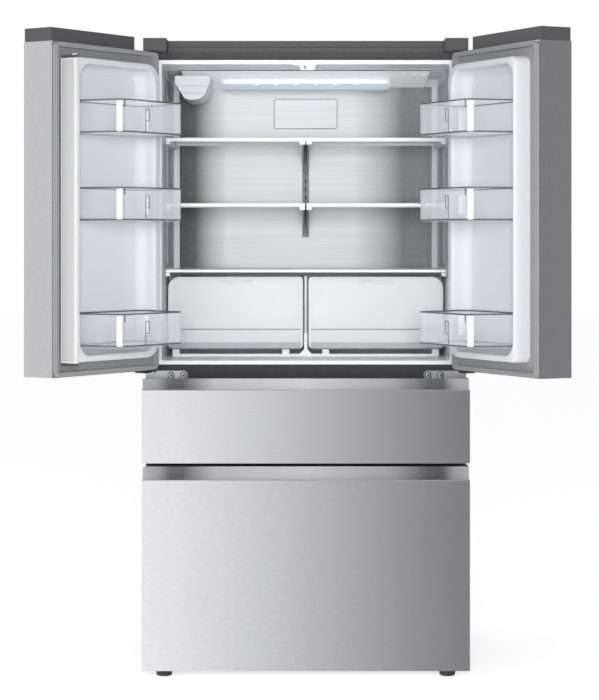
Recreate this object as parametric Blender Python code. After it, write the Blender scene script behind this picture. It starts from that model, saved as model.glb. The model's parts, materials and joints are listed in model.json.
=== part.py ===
"""French door refrigerator with two lower drawers, its doors standing open.

Sizes are metres. The design is laid out in the cabinet's own coordinates: X across, with 0 at the
middle; Y from the closed doors' front faces (0) to the back; Z up from the floor. Doors are drawn
shut and turned about their hinge pins by parent empties. The whole stands on the world's origin at
the middle of its footprint.
"""

import math

import bmesh
import bpy
from mathutils import Matrix, Vector

# Overall
WIDTH = 0.908
HEIGHT = 1.784
DEPTH = 0.787
GAP = 0.0004
SHEET = 0.0015
SHARP_ANGLE = math.radians(35)

# Case
CASE_INSET = 0.003
GASKET_ROOM = 0.0135
BACK_INSET = 0.012
FLANGE = 0.006
OPENING_INSET = 0.033
WALL = 0.045
REAR_WALL = 0.0831
CASE_BOTTOM = 0.034
BASE_HEIGHT = 0.026
BOTTOM_RAIL = 0.032

# Fronts, from the floor up
FRONT_BOTTOM = 0.0287
FREEZER_FRONT_HEIGHT = 0.5613
FRONT_SEAM = 0.013
DRAWER_FRONT_HEIGHT = 0.2316
DOOR_SEAM = 0.0228
FRONT_LAP = 0.021
DOOR_LAP = 0.0126
DRAWER_SCOOP = 0.0286
FREEZER_SCOOP = 0.0331
SCOOP_DEPTH = 0.040
SCOOP_LIP = 0.005
SCOOP_DIP = 0.022

# Fridge compartment
HEADER = 0.021
CEILING_DROP = 0.033
FLOOR_LIP = 0.011
CEILING_DUCT_FRONT = 0.299
CEILING_DUCT_DROP = 0.024
CEILING_DUCT_INSET = 0.042
PANEL_THICKNESS = 0.004
PANEL_INSET = 0.018
SHELF_FRONT = 0.298
SHELF_THICKNESS = 0.009
SHELF_SPLIT = 0.004
SHELF_REAR_ROOM = 0.013
UPPER_SHELF_HEIGHT = 0.628
LOWER_SHELF_HEIGHT = 0.438
COVER_HEIGHT = 0.245
LEDGE_WIDTH = 0.012
LEDGE_HEIGHT = 0.010
LADDER_WIDTH = 0.020
LADDER_DEPTH = 0.009
LADDER_BELOW = 0.090
LADDER_SLOT = 0.010
LADDER_SLOT_WIDTH = 0.005
LADDER_PITCH = 0.025
BRACKET_HEIGHT = 0.080
BRACKET_SETBACK = 0.0778
BRACKET_TIP = 0.014
BRACKET_PROFILE = ((0.0, 1.0), (0.25, 0.62), (0.60, 0.30))
BRACKET_PLATE = 0.003
BRACKET_SPREAD = 0.006
FILTER_WIDTH = 0.196
FILTER_HEIGHT = 0.093
FILTER_ABOVE_SHELF = 0.044
FILTER_THICKNESS = 0.008
FILTER_CORNER = 0.006
VENT_MARGIN = 0.0155
LENS_WIDTH = 0.504
LENS_DEPTH = 0.188
LENS_HEIGHT = 0.045
LENS_NOSE = 0.0225
LENS_BELLY = 0.085
LENS_BELLY_DROP = 0.028
WATER_FILTER_SIDE_ROOM = 0.024
WATER_FILTER_WIDTH = 0.104
WATER_FILTER_DROP = 0.087
WATER_FILTER_BACK_ROOM = 0.1256
WATER_FILTER_LENGTH = 0.235
WATER_FILTER_PROFILE = (
    (-1.0, 0.0), (-0.96, 0.32), (-0.46, 0.92), (-0.10, 1.0),
    (0.36, 0.96), (0.66, 0.80), (0.94, 0.30), (1.0, 0.0),
)

# Crispers
CRISPER_FRONT = 0.310
CRISPER_BACK_ROOM = 0.0256
CRISPER_MIDDLE = 0.008
CRISPER_SIDE_ROOM = 0.006
CRISPER_LIFT = 0.022
CRISPER_TOP_ROOM = 0.002
CRISPER_WALL = 0.003
CRISPER_RUNNER = 0.020
CRISPER_POST = 0.009
CRISPER_BASE_INSET = 0.012
CRISPER_BASE_PLATE = 0.0073

# Doors
DOOR_THICKNESS = 0.0985
DOOR_TOP_DROP = 0.0034
DOOR_SPLIT = 0.003
HINGE_INSET = 0.015
HINGE_BACK = 0.0235
LEFT_OPEN = math.radians(124.4)
RIGHT_OPEN = math.radians(116.3)
PIN_RADIUS = 0.006
PIN_CLEARANCE = 0.0007
PIN_LENGTH = 0.020
SKIN_RETURN = 0.036
LINER_FREE_MARGIN = 0.047
LINER_HINGE_MARGIN = 0.052
LINER_EDGE_MARGIN = 0.037
LINER_CORNER = 0.055
DIKE_HEIGHT = 0.048
DIKE_FREE = 0.0115
DIKE_HINGE = 0.028
DIKE_EDGE = 0.020
DISH_CORNER = 0.018
DISH_DEPTH = 0.006
CAP_HEIGHT = 0.0355
CAP_NOTCH = 0.105
CAP_INSET = 0.003
GASKET_WIDTH = 0.0135
GASKET_FREE_INSET = 0.0015
GASKET_HINGE_INSET = 0.016
GASKET_EDGE_INSET = 0.002
FLAP_WIDTH = 0.054
FLAP_THICKNESS = 0.014
FLAP_PIVOT_X = -0.0225
FLAP_PIVOT_ROOM = 0.005
FLAP_CLEARANCE = 0.0005
FLAP_END_ROOM = 0.009

# Door bins
BIN_LIFTS = (0.057, 0.390, 0.621)
BIN_NAMES = ("lower", "middle", "upper")
BIN_HEIGHT = 0.090
BIN_REACH = 0.175
BIN_FREE_TAPER = 0.023
BIN_HINGE_TAPER = 0.039
BIN_WALL = 0.0025

# Drawers
DRAWER_SIDE_ROOM = 0.022
DRAWER_WALL = 0.003
DRAWER_BACK_ROOM = 0.058
DRAWER_TOP_ROOM = 0.0176
BASKET_BACK_ROOM = 0.018
BASKET_TOP_ROOM = 0.080
TRAY_LENGTH = 0.340
TRAY_HEIGHT = 0.095
TRAY_TOP_ROOM = 0.020
BOX_FLOOR_ROOM = 0.010

# Hinges on the case
HINGE_PLATE = 0.004
HINGE_COVER_HEIGHT = 0.0346
HINGE_COVER_WIDTH = 0.065
HINGE_COVER_AHEAD = 0.030
COVER_LENGTH = 0.190
COVER_WALL = 0.0025
TOP_COVER_DROP = 0.002
LOWER_PLATE = 0.007
LOWER_HINGE_ROOM = 0.0044
LOWER_PLATE_LENGTH = 0.119
LOWER_PLATE_HEIGHT = 0.025
LOWER_ARM_HEIGHT = 0.006
LOWER_ARM_WIDTH = 0.026
BOLT_RADIUS = 0.0065
BOLT_HEAD = 0.0028
BOLT_OFFSETS = (0.012, 0.047)

# Feet, rollers and machine room
FOOT_INSET = 0.054
FOOT_AHEAD = 0.024
FOOT_RADIUS = 0.0225
FOOT_PAD = 0.030
FOOT_EDGE = 0.006
FOOT_STEM = 0.006
FOOT_ARM_WIDTH = 0.044
FOOT_POCKET_ROOM = 0.006
ROLLER_INSET = 0.091
ROLLER_FROM_BACK = 0.075
ROLLER_RADIUS = 0.016
ROLLER_WIDTH = 0.030
AXLE_RADIUS = 0.004
ROLLER_EAR = 0.004
MACHINE_DEPTH = 0.240
MACHINE_TOP = 0.300
STEP_WALL = 0.035
COMPRESSOR_RADIUS = 0.082
COMPRESSOR_HEIGHT = 0.175
COMPRESSOR_EDGE = 0.0328
COMPRESSOR_LIFT = 0.020
COMPRESSOR_INSET = 0.216
COMPRESSOR_PLATE = 0.030
PLATE_REACH = 1.2
PLATE_BREADTH = 0.8
CONDENSER_WIDTH = 0.200
CONDENSER_INSET = 0.181
COIL_DEPTH = 0.150
COIL_HEIGHT = 0.160
COIL_FIN = 0.004
COIL_FINS = 9
FAN_RADIUS = 0.062
FAN_HUB = 0.020
FAN_LENGTH = 0.024
FAN_BLADES = 5
BLADE_PITCH = math.radians(35)
CONDENSER_FAN_ROOM = 0.090
EVAPORATOR_WIDTH = 0.480
EVAPORATOR_DEPTH = 0.040
EVAPORATOR_HEIGHT = 0.180
EVAPORATOR_POCKET = 0.062
EVAPORATOR_SIDE_ROOM = 0.020
EVAPORATOR_LIFT = 0.060
DUCT_HEIGHT = 0.480
EVAPORATOR_FAN_LIFT = 0.400
LOUVRES = 9
LOUVRE_OPEN = 0.4
COVER_THICKNESS = 0.006
COVER_LAP = 0.030
COVER_SIDE_ROOM = 0.012
GLAND_RADIUS = 0.012

# Places that follow from the sizes
CASE_HALF = WIDTH / 2 - CASE_INSET
INSIDE_HALF = CASE_HALF - SHEET - GAP
OPENING_HALF = CASE_HALF - OPENING_INSET
ROOM_HALF = CASE_HALF - WALL
CASE_FRONT = DOOR_THICKNESS + GASKET_ROOM
CASE_BACK = DEPTH - BACK_INSET
CASE_TOP = HEIGHT - HINGE_COVER_HEIGHT - GAP
LINER_FRONT = CASE_FRONT + FLANGE + GAP
LINER_BACK = CASE_BACK - SHEET - GAP
ROOM_BACK = LINER_BACK - REAR_WALL
BASE_TOP = CASE_BOTTOM + BASE_HEIGHT - GAP
FREEZER_FRONT_TOP = FRONT_BOTTOM + FREEZER_FRONT_HEIGHT
DRAWER_FRONT_BOTTOM = FREEZER_FRONT_TOP + FRONT_SEAM
DRAWER_FRONT_TOP = DRAWER_FRONT_BOTTOM + DRAWER_FRONT_HEIGHT
DOOR_BOTTOM = DRAWER_FRONT_TOP + DOOR_SEAM
DOOR_TOP = CASE_TOP - DOOR_TOP_DROP
FREE_EDGE = DOOR_SPLIT / 2
HINGE_X = WIDTH / 2 - HINGE_INSET
HINGE_DEPTH = DOOR_THICKNESS - HINGE_BACK
HINGE_COVER_FRONT = HINGE_DEPTH - HINGE_COVER_AHEAD
FOOT_X = CASE_HALF - FOOT_INSET
FOOT_Y = CASE_FRONT - FOOT_AHEAD
ROLLER_X = CASE_HALF - ROLLER_INSET
MACHINE_FRONT = CASE_BACK - MACHINE_DEPTH
STEP_FRONT = MACHINE_FRONT - STEP_WALL
STEP_TOP = MACHINE_TOP + STEP_WALL
FREEZER_OPENING = (CASE_BOTTOM + BASE_HEIGHT + BOTTOM_RAIL, FREEZER_FRONT_TOP - FRONT_LAP)
DRAWER_OPENING = (DRAWER_FRONT_BOTTOM + FRONT_LAP, DRAWER_FRONT_TOP - FRONT_LAP)
FRIDGE_OPENING = (DOOR_BOTTOM + DOOR_LAP, CASE_TOP - HEADER)
FRIDGE_FLOOR = FRIDGE_OPENING[0] + FLOOR_LIP
FRIDGE_CEILING = CASE_TOP - CEILING_DROP
LOWER_PARTITION = (FREEZER_OPENING[1] + DRAWER_OPENING[0]) / 2
UPPER_PARTITION = (DRAWER_OPENING[1] + FRIDGE_OPENING[0]) / 2
PANEL_FRONT = ROOM_BACK - GAP - PANEL_THICKNESS
SHELF_BACK = PANEL_FRONT - SHELF_REAR_ROOM
UPPER_SHELF = FRIDGE_FLOOR + UPPER_SHELF_HEIGHT
LOWER_SHELF = FRIDGE_FLOOR + LOWER_SHELF_HEIGHT
CRISPER_COVER = FRIDGE_FLOOR + COVER_HEIGHT
CRISPER_HEIGHT = COVER_HEIGHT - LEDGE_HEIGHT - CRISPER_LIFT - CRISPER_TOP_ROOM
CRISPER_BACK = PANEL_FRONT - CRISPER_BACK_ROOM
DISH_FACE = DOOR_THICKNESS - DISH_DEPTH
FLAP_FRONT = CASE_FRONT + FLAP_CLEARANCE
FLAP_PIVOT_Y = CASE_FRONT + FLAP_PIVOT_ROOM
FREEZER_FLOOR = FREEZER_OPENING[0] + FLOOR_LIP
DRAWER_ROOM_FLOOR = DRAWER_OPENING[0] + FLOOR_LIP
DRAWER_CEILING = DRAWER_OPENING[1] - FLOOR_LIP
FREEZER_CEILING = FREEZER_OPENING[1] - FLOOR_LIP
TRAY_RIM = FREEZER_CEILING - TRAY_TOP_ROOM


# Shapes, as closed bmeshes in the cabinet's coordinates


def block(low, high):
    """A box between two opposite corners, given in any order."""
    shape = bmesh.new()
    bmesh.ops.create_cube(shape, size=1.0)
    size = [abs(b - a) for a, b in zip(low, high)]
    middle = [(a + b) / 2 for a, b in zip(low, high)]
    bmesh.ops.scale(shape, vec=size, verts=shape.verts)
    bmesh.ops.translate(shape, vec=middle, verts=shape.verts)
    return shape


def rod(centre, radius, length, axis="Z", sides=24):
    """A round bar centred on a point, along one axis."""
    shape = bmesh.new()
    turn = {"X": Matrix.Rotation(math.pi / 2, 4, "Y"), "Y": Matrix.Rotation(math.pi / 2, 4, "X")}
    bmesh.ops.create_cone(
        shape, cap_ends=True, segments=sides, radius1=radius, radius2=radius, depth=length
    )
    bmesh.ops.transform(shape, matrix=turn.get(axis, Matrix()), verts=shape.verts)
    bmesh.ops.translate(shape, vec=centre, verts=shape.verts)
    return shape


def prism(outline, low, high, axis="Z"):
    """A flat outline drawn out along an axis; its points are the other two coordinates in order."""
    spot = {
        "X": lambda a, b, c: (c, a, b),
        "Y": lambda a, b, c: (a, c, b),
        "Z": lambda a, b, c: (a, b, c),
    }[axis]
    shape = bmesh.new()
    face = shape.faces.new([shape.verts.new(spot(a, b, low)) for a, b in outline])
    grown = bmesh.ops.extrude_face_region(shape, geom=[face])["geom"]
    tops = [item for item in grown if isinstance(item, bmesh.types.BMVert)]
    bmesh.ops.translate(shape, vec=spot(0, 0, high - low), verts=tops)
    bmesh.ops.recalc_face_normals(shape, faces=shape.faces)
    return shape


def tray(outline, bottom, top, wall, floor):
    """An open-topped box on a flat outline, with walls of even thickness."""
    shape = prism(outline, bottom, top)
    rim = max(shape.faces, key=lambda face: face.calc_center_median().z)
    bmesh.ops.inset_individual(shape, faces=[rim], thickness=wall, use_even_offset=True)
    well = bmesh.ops.extrude_discrete_faces(shape, faces=[rim])["faces"][0]
    bmesh.ops.translate(shape, vec=(0, 0, bottom + floor - top), verts=well.verts)
    return shape


def rectangle(low, high):
    return [low, (high[0], low[1]), high, (low[0], high[1])]


def rounded(low, high, radii, steps=5):
    """A rectangle's outline with its own radius at each corner, from the low corner round."""
    corners = ((low[0], low[1], 180), (high[0], low[1], 270), (high[0], high[1], 0), (low[0], high[1], 90))
    middle = ((low[0] + high[0]) / 2, (low[1] + high[1]) / 2)
    points = []
    for (x, z, start), radius in zip(corners, radii):
        centre_x = x + math.copysign(radius, middle[0] - x)
        centre_z = z + math.copysign(radius, middle[1] - z)
        for step in range(steps + 1):
            angle = math.radians(start + 90 * step / steps)
            points.append((centre_x + radius * math.cos(angle), centre_z + radius * math.sin(angle)))
    return points


# Objects


class Frame:
    """An empty that carries pieces: where it stands in the cabinet, and how far it is turned."""

    def __init__(self, name, at, turn=0.0, parent=None):
        self.at = Vector(at)
        self.empty = bpy.data.objects.new(name, None)
        self.empty.location = self.at - (parent.at if parent else Vector())
        self.empty.rotation_euler.z = turn
        self.empty.parent = parent.empty if parent else None
        bpy.context.collection.objects.link(self.empty)


def mesh_object(name, shape, origin, parent):
    bmesh.ops.translate(shape, vec=-Vector(origin), verts=shape.verts)
    mesh = bpy.data.meshes.new(name)
    shape.to_mesh(mesh)
    shape.free()
    item = bpy.data.objects.new(name, mesh)
    item.parent = parent
    bpy.context.collection.objects.link(item)
    return item


def piece(name, look, frame, base, origin, add=(), cut=(), then_add=(), then_cut=(), smooth=False):
    """A named solid: a base shape, joined with some shapes and cut by others, in that order."""
    node = mesh_object(name, base, origin, frame.empty)
    node.location = Vector(origin) - frame.at
    node.data.materials.append(look)
    rounds = (("UNION", add), ("DIFFERENCE", cut), ("UNION", then_add), ("DIFFERENCE", then_cut))
    jobs = [(operation, shape) for operation, shapes in rounds for shape in shapes]
    for number, (operation, shape) in enumerate(jobs):
        tool = mesh_object(f"{name}_tool_{number}", shape, origin, node)
        tool.hide_render = True
        tool.display_type = "WIRE"
        change = node.modifiers.new(f"{operation.lower()}_{number}", "BOOLEAN")
        change.operation = operation
        change.solver = "EXACT"
        change.object = tool
    if smooth:
        node.data.shade_smooth()
        node.data.set_sharp_from_angle(angle=SHARP_ANGLE)
    return node


def material(name, colour, roughness, metallic=0.0, alpha=1.0):
    look = bpy.data.materials.new(name)
    look.use_nodes = True
    surface = look.node_tree.nodes["Principled BSDF"]
    surface.inputs["Base Color"].default_value = (*colour, 1.0)
    surface.inputs["Roughness"].default_value = roughness
    surface.inputs["Metallic"].default_value = metallic
    surface.inputs["Alpha"].default_value = alpha
    return look


def make_looks():
    return {
        "steel": material("brushed_steel", (0.66, 0.66, 0.68), 0.32, 1.0),
        "grey_paint": material("grey_paint", (0.16, 0.16, 0.17), 0.5, 0.3),
        "white": material("white_plastic", (0.86, 0.87, 0.88), 0.35),
        "dark": material("dark_plastic", (0.06, 0.06, 0.065), 0.45),
        "rubber": material("gasket_rubber", (0.55, 0.56, 0.58), 0.6),
        "clear": material("clear_plastic", (0.9, 0.93, 0.95), 0.08, 0.0, 0.35),
        "glass": material("shelf_glass", (0.88, 0.93, 0.92), 0.05, 0.0, 0.4),
        "lens": material("lens_plastic", (0.88, 0.92, 0.98), 0.2, 0.0, 0.8),
        "zinc": material("zinc_plate", (0.7, 0.7, 0.7), 0.35, 1.0),
        "black": material("black_plastic", (0.02, 0.02, 0.02), 0.5),
        "iron": material("black_enamel", (0.03, 0.03, 0.03), 0.3, 0.2),
        "aluminium": material("aluminium", (0.75, 0.76, 0.77), 0.4, 1.0),
    }


# Cabinet


def make_case(looks, cabinet):
    beyond = DEPTH
    holes = [FREEZER_OPENING, DRAWER_OPENING, FRIDGE_OPENING]
    fronts = [
        block((-OPENING_HALF, -beyond, low), (OPENING_HALF, beyond, high)) for low, high in holes
    ]
    inside = block(
        (-CASE_HALF + SHEET, CASE_FRONT + FLANGE, -beyond),
        (CASE_HALF - SHEET, 2 * beyond, CASE_TOP - SHEET),
    )
    under = block((-WIDTH, -beyond, 0), (WIDTH, 2 * beyond, CASE_BOTTOM))
    toe = block(
        (-CASE_HALF + SHEET, -beyond, 0), (CASE_HALF - SHEET, 2 * beyond, BASE_TOP + GAP)
    )
    outside = block((-CASE_HALF, CASE_FRONT, CASE_BOTTOM / 2), (CASE_HALF, CASE_BACK, CASE_TOP))
    origin = (0, CASE_FRONT, CASE_BOTTOM)
    piece("outer_case", looks["grey_paint"], cabinet, outside, origin, cut=[inside, *fronts, under, toe])
    panel = block(
        (-INSIDE_HALF, LINER_BACK + GAP, MACHINE_TOP), (INSIDE_HALF, CASE_BACK, CASE_TOP - SHEET - GAP)
    )
    piece("rear_panel", looks["grey_paint"], cabinet, panel, (0, CASE_BACK, MACHINE_TOP))


def liner_lip(opening):
    return block(
        (-OPENING_HALF + GAP, CASE_FRONT, opening[0] + GAP),
        (OPENING_HALF - GAP, LINER_FRONT + FLANGE, opening[1] - GAP),
    )


def shelf_ledges():
    """Side ledges under the shelves and the crisper cover."""
    ledges = []
    for height in (UPPER_SHELF, LOWER_SHELF, CRISPER_COVER):
        for side in (-1, 1):
            ledges.append(
                block(
                    (side * (ROOM_HALF - LEDGE_WIDTH), SHELF_FRONT, height - LEDGE_HEIGHT - GAP),
                    (side * (ROOM_HALF + LEDGE_WIDTH), SHELF_BACK, height - GAP),
                )
            )
    return ledges


def make_fridge_liner(looks, cabinet):
    shell = block(
        (-INSIDE_HALF, LINER_FRONT, UPPER_PARTITION + GAP),
        (INSIDE_HALF, LINER_BACK, CASE_TOP - SHEET - GAP),
    )
    room = block((-ROOM_HALF, 0, FRIDGE_FLOOR), (ROOM_HALF, ROOM_BACK, FRIDGE_CEILING))
    half = EVAPORATOR_WIDTH / 2 + EVAPORATOR_SIDE_ROOM
    pocket = block(
        (-half, ROOM_BACK - WALL, FRIDGE_FLOOR + EVAPORATOR_LIFT),
        (half, ROOM_BACK + EVAPORATOR_POCKET, FRIDGE_FLOOR + EVAPORATOR_LIFT + DUCT_HEIGHT),
    )
    duct = [
        (CEILING_DUCT_FRONT, FRIDGE_CEILING + WALL / 2),
        (CEILING_DUCT_FRONT, FRIDGE_CEILING),
        (ROOM_BACK, FRIDGE_CEILING - CEILING_DUCT_DROP),
        (ROOM_BACK + WALL / 2, FRIDGE_CEILING - CEILING_DUCT_DROP),
        (ROOM_BACK + WALL / 2, FRIDGE_CEILING + WALL / 2),
    ]
    reach = ROOM_HALF - CEILING_DUCT_INSET
    piece(
        "fridge_liner",
        looks["white"],
        cabinet,
        shell,
        (0, CASE_FRONT, FRIDGE_FLOOR),
        add=[liner_lip(FRIDGE_OPENING)],
        cut=[room, pocket],
        then_add=[prism(duct, -reach, reach, "X"), *shelf_ledges()],
    )


def make_drawer_liner(looks, cabinet):
    shell = block(
        (-INSIDE_HALF, LINER_FRONT, LOWER_PARTITION + GAP), (INSIDE_HALF, LINER_BACK, UPPER_PARTITION)
    )
    room = block((-ROOM_HALF, 0, DRAWER_ROOM_FLOOR), (ROOM_HALF, ROOM_BACK, DRAWER_CEILING))
    origin = (0, CASE_FRONT, DRAWER_ROOM_FLOOR)
    lip = [liner_lip(DRAWER_OPENING)]
    piece("drawer_liner", looks["white"], cabinet, shell, origin, add=lip, cut=[room])


def make_freezer_liner(looks, cabinet):
    """The freezer's box, stepped at the back over the machine room."""
    outline = [
        (LINER_FRONT, BASE_TOP + GAP),
        (MACHINE_FRONT, BASE_TOP + GAP),
        (MACHINE_FRONT, MACHINE_TOP + GAP),
        (LINER_BACK, MACHINE_TOP + GAP),
        (LINER_BACK, LOWER_PARTITION),
        (LINER_FRONT, LOWER_PARTITION),
    ]
    room = [
        (0, FREEZER_FLOOR),
        (STEP_FRONT, FREEZER_FLOOR),
        (STEP_FRONT, STEP_TOP),
        (ROOM_BACK, STEP_TOP),
        (ROOM_BACK, FREEZER_CEILING),
        (0, FREEZER_CEILING),
    ]
    piece(
        "freezer_liner",
        looks["white"],
        cabinet,
        prism(outline, -INSIDE_HALF, INSIDE_HALF, "X"),
        (0, CASE_FRONT, FREEZER_FLOOR),
        add=[liner_lip(FREEZER_OPENING)],
        cut=[prism(room, -ROOM_HALF, ROOM_HALF, "X")],
    )


def make_base(looks, cabinet):
    """The steel base: arms for the feet, ears for the rollers and an open tray for the machinery."""
    roller_y = CASE_BACK - ROLLER_FROM_BACK
    slab = block((-INSIDE_HALF, CASE_FRONT, CASE_BOTTOM), (INSIDE_HALF, LINER_BACK, BASE_TOP))
    lightening = block(
        (-INSIDE_HALF + WALL, CASE_FRONT + WALL, 0),
        (INSIDE_HALF - WALL, MACHINE_FRONT - WALL, BASE_TOP - 2 * SHEET),
    )
    room = block(
        (-INSIDE_HALF + SHEET, MACHINE_FRONT + SHEET, CASE_BOTTOM + 2 * SHEET),
        (INSIDE_HALF - SHEET, LINER_BACK - SHEET, HEIGHT),
    )
    add, cut = [], [lightening, room]
    for side in (-1, 1):
        add.append(
            block(
                (side * FOOT_X - FOOT_ARM_WIDTH / 2, FOOT_Y - FOOT_RADIUS, CASE_BOTTOM),
                (side * FOOT_X + FOOT_ARM_WIDTH / 2, CASE_FRONT + WALL, BASE_TOP),
            )
        )
        cut.append(
            rod((side * FOOT_X, FOOT_Y, BASE_TOP), FOOT_STEM + PIN_CLEARANCE, 2 * BASE_HEIGHT + FOOT_PAD)
        )
        for edge in (-1, 1):
            inner = side * ROLLER_X + edge * (ROLLER_WIDTH / 2 + 2 * GAP)
            add.append(
                block(
                    (inner, roller_y - ROLLER_RADIUS / 2, ROLLER_RADIUS / 2),
                    (inner + edge * ROLLER_EAR, roller_y + ROLLER_RADIUS / 2, CASE_BOTTOM + SHEET),
                )
            )
        cut.append(
            rod(
                (side * ROLLER_X, roller_y, ROLLER_RADIUS),
                AXLE_RADIUS + PIN_CLEARANCE,
                ROLLER_WIDTH + 4 * ROLLER_EAR,
                "X",
            )
        )
    piece("base_frame", looks["zinc"], cabinet, slab, (0, CASE_FRONT, CASE_BOTTOM), add=add, cut=cut)


def make_feet(looks, cabinet):
    for side, name in ((-1, "left"), (1, "right")):
        pad = rod((side * FOOT_X, FOOT_Y, FOOT_PAD / 2), FOOT_RADIUS, FOOT_PAD, sides=28)
        low_edges = [edge for edge in pad.edges if all(vert.co.z < FOOT_PAD / 2 for vert in edge.verts)]
        bmesh.ops.bevel(pad, geom=low_edges, offset=FOOT_EDGE, segments=2, affect="EDGES", profile=0.5)
        stem_top = BASE_TOP - GAP
        stem = rod(
            (side * FOOT_X, FOOT_Y, (FOOT_PAD / 2 + stem_top) / 2), FOOT_STEM, stem_top - FOOT_PAD / 2
        )
        origin = (side * FOOT_X, FOOT_Y, 0)
        piece(f"{name}_front_foot", looks["black"], cabinet, pad, origin, add=[stem], smooth=True)


def make_rollers(looks, cabinet):
    roller_y = CASE_BACK - ROLLER_FROM_BACK
    for side, name in ((-1, "left"), (1, "right")):
        centre = (side * ROLLER_X, roller_y, ROLLER_RADIUS)
        wheel = rod(centre, ROLLER_RADIUS, ROLLER_WIDTH, "X", 28)
        axle = rod(centre, AXLE_RADIUS, ROLLER_WIDTH + 3 * ROLLER_EAR, "X")
        piece(f"{name}_rear_roller", looks["black"], cabinet, wheel, centre, add=[axle], smooth=True)


def make_top_cover(looks, cabinet):
    half = WIDTH / 2 - HINGE_COVER_WIDTH - GAP
    low, high = CASE_TOP + GAP, HEIGHT - TOP_COVER_DROP
    outside = block((-half, CASE_FRONT + 2 * SHEET, low), (half, CASE_FRONT + COVER_LENGTH, high))
    inside = block(
        (-half + COVER_WALL, CASE_FRONT + 2 * SHEET + COVER_WALL, 0),
        (half - COVER_WALL, CASE_FRONT + COVER_LENGTH - COVER_WALL, high - COVER_WALL),
    )
    piece("top_cover", looks["dark"], cabinet, outside, (0, CASE_FRONT, low), cut=[inside])


def make_upper_hinges(looks, cabinet):
    """Each plate on the case top drops a pin into its door, under a hollow cover."""
    for side, name in ((-1, "left"), (1, "right")):
        outer = side * (WIDTH / 2 - SHEET / 2)
        inner = side * (WIDTH / 2 - HINGE_COVER_WIDTH)
        low = CASE_TOP + GAP
        shell = block((outer, HINGE_COVER_FRONT, low), (inner, CASE_FRONT + COVER_LENGTH, HEIGHT))
        hollow = block(
            (outer - side * COVER_WALL, HINGE_COVER_FRONT + COVER_WALL, 0),
            (inner + side * COVER_WALL, CASE_FRONT + COVER_LENGTH - COVER_WALL, HEIGHT - COVER_WALL),
        )
        origin = (side * HINGE_X, HINGE_DEPTH, low)
        piece(f"{name}_hinge_cover", looks["dark"], cabinet, shell, origin, cut=[hollow])
        room = COVER_WALL + 2 * GAP
        plate = block(
            (outer - side * room, HINGE_DEPTH - 2 * PIN_RADIUS, low),
            (inner + side * room, CASE_FRONT + COVER_LENGTH / 2, low + HINGE_PLATE),
        )
        pin_low = DOOR_TOP - PIN_LENGTH
        pin = rod(
            (side * HINGE_X, HINGE_DEPTH, (pin_low + low + HINGE_PLATE / 2) / 2),
            PIN_RADIUS,
            low + HINGE_PLATE / 2 - pin_low,
        )
        piece(f"{name}_upper_hinge", looks["zinc"], cabinet, plate, origin, add=[pin])


def make_lower_hinges(looks, cabinet):
    """Each plate is bolted to the rail under the doors and holds a pin up into its door."""
    high = DOOR_BOTTOM - LOWER_HINGE_ROOM
    middle = high - LOWER_PLATE_HEIGHT / 2
    for side, name in ((-1, "left"), (1, "right")):
        outer = side * (WIDTH / 2 - 2 * SHEET)
        inner = outer - side * LOWER_PLATE_LENGTH
        plate_back = CASE_FRONT - GAP
        plate = block(
            (outer, plate_back - LOWER_PLATE, high - LOWER_PLATE_HEIGHT),
            (inner + side * LOWER_PLATE_HEIGHT / 2, plate_back, high),
        )
        nose = rod(
            (inner + side * LOWER_PLATE_HEIGHT / 2, plate_back - LOWER_PLATE / 2, middle),
            LOWER_PLATE_HEIGHT / 2,
            LOWER_PLATE,
            "Y",
        )
        arm = block(
            (outer, HINGE_DEPTH - 2 * PIN_RADIUS, high - LOWER_ARM_HEIGHT),
            (outer - side * LOWER_ARM_WIDTH, plate_back - LOWER_PLATE / 2, high),
        )
        pin_high = DOOR_BOTTOM + PIN_LENGTH
        pin_low = high - LOWER_ARM_HEIGHT / 2
        pin = rod((side * HINGE_X, HINGE_DEPTH, (pin_low + pin_high) / 2), PIN_RADIUS, pin_high - pin_low)
        bolts = [
            rod(
                (inner + side * offset, plate_back - LOWER_PLATE, middle),
                BOLT_RADIUS,
                2 * BOLT_HEAD,
                "Y",
                12,
            )
            for offset in BOLT_OFFSETS
        ]
        origin = (side * HINGE_X, HINGE_DEPTH, high)
        piece(f"{name}_lower_hinge", looks["zinc"], cabinet, plate, origin, add=[nose, arm, pin, *bolts])


# Fridge compartment


def make_back_panel(looks, cabinet):
    low = FRIDGE_FLOOR + GAP
    high = FRIDGE_CEILING - CEILING_DUCT_DROP - GAP
    half = ROOM_HALF - PANEL_INSET
    sheet = block((-half, PANEL_FRONT, low), (half, ROOM_BACK - GAP, high))
    filter_low = UPPER_SHELF + SHELF_THICKNESS + FILTER_ABOVE_SHELF
    filter_high = filter_low + FILTER_HEIGHT
    vent_half = FILTER_WIDTH / 2 - VENT_MARGIN
    vent = block((-vent_half, 0, filter_low + VENT_MARGIN), (vent_half, DEPTH, filter_high - VENT_MARGIN))
    piece("back_duct_panel", looks["steel"], cabinet, sheet, (0, PANEL_FRONT, low), cut=[vent])
    back = PANEL_FRONT - GAP
    corners = [FILTER_CORNER] * 4
    outline = rounded((-FILTER_WIDTH / 2, filter_low), (FILTER_WIDTH / 2, filter_high), corners, 3)
    cover = prism(outline, back - FILTER_THICKNESS, back, "Y")
    piece("air_filter_cover", looks["white"], cabinet, cover, (0, back, filter_low))


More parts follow.
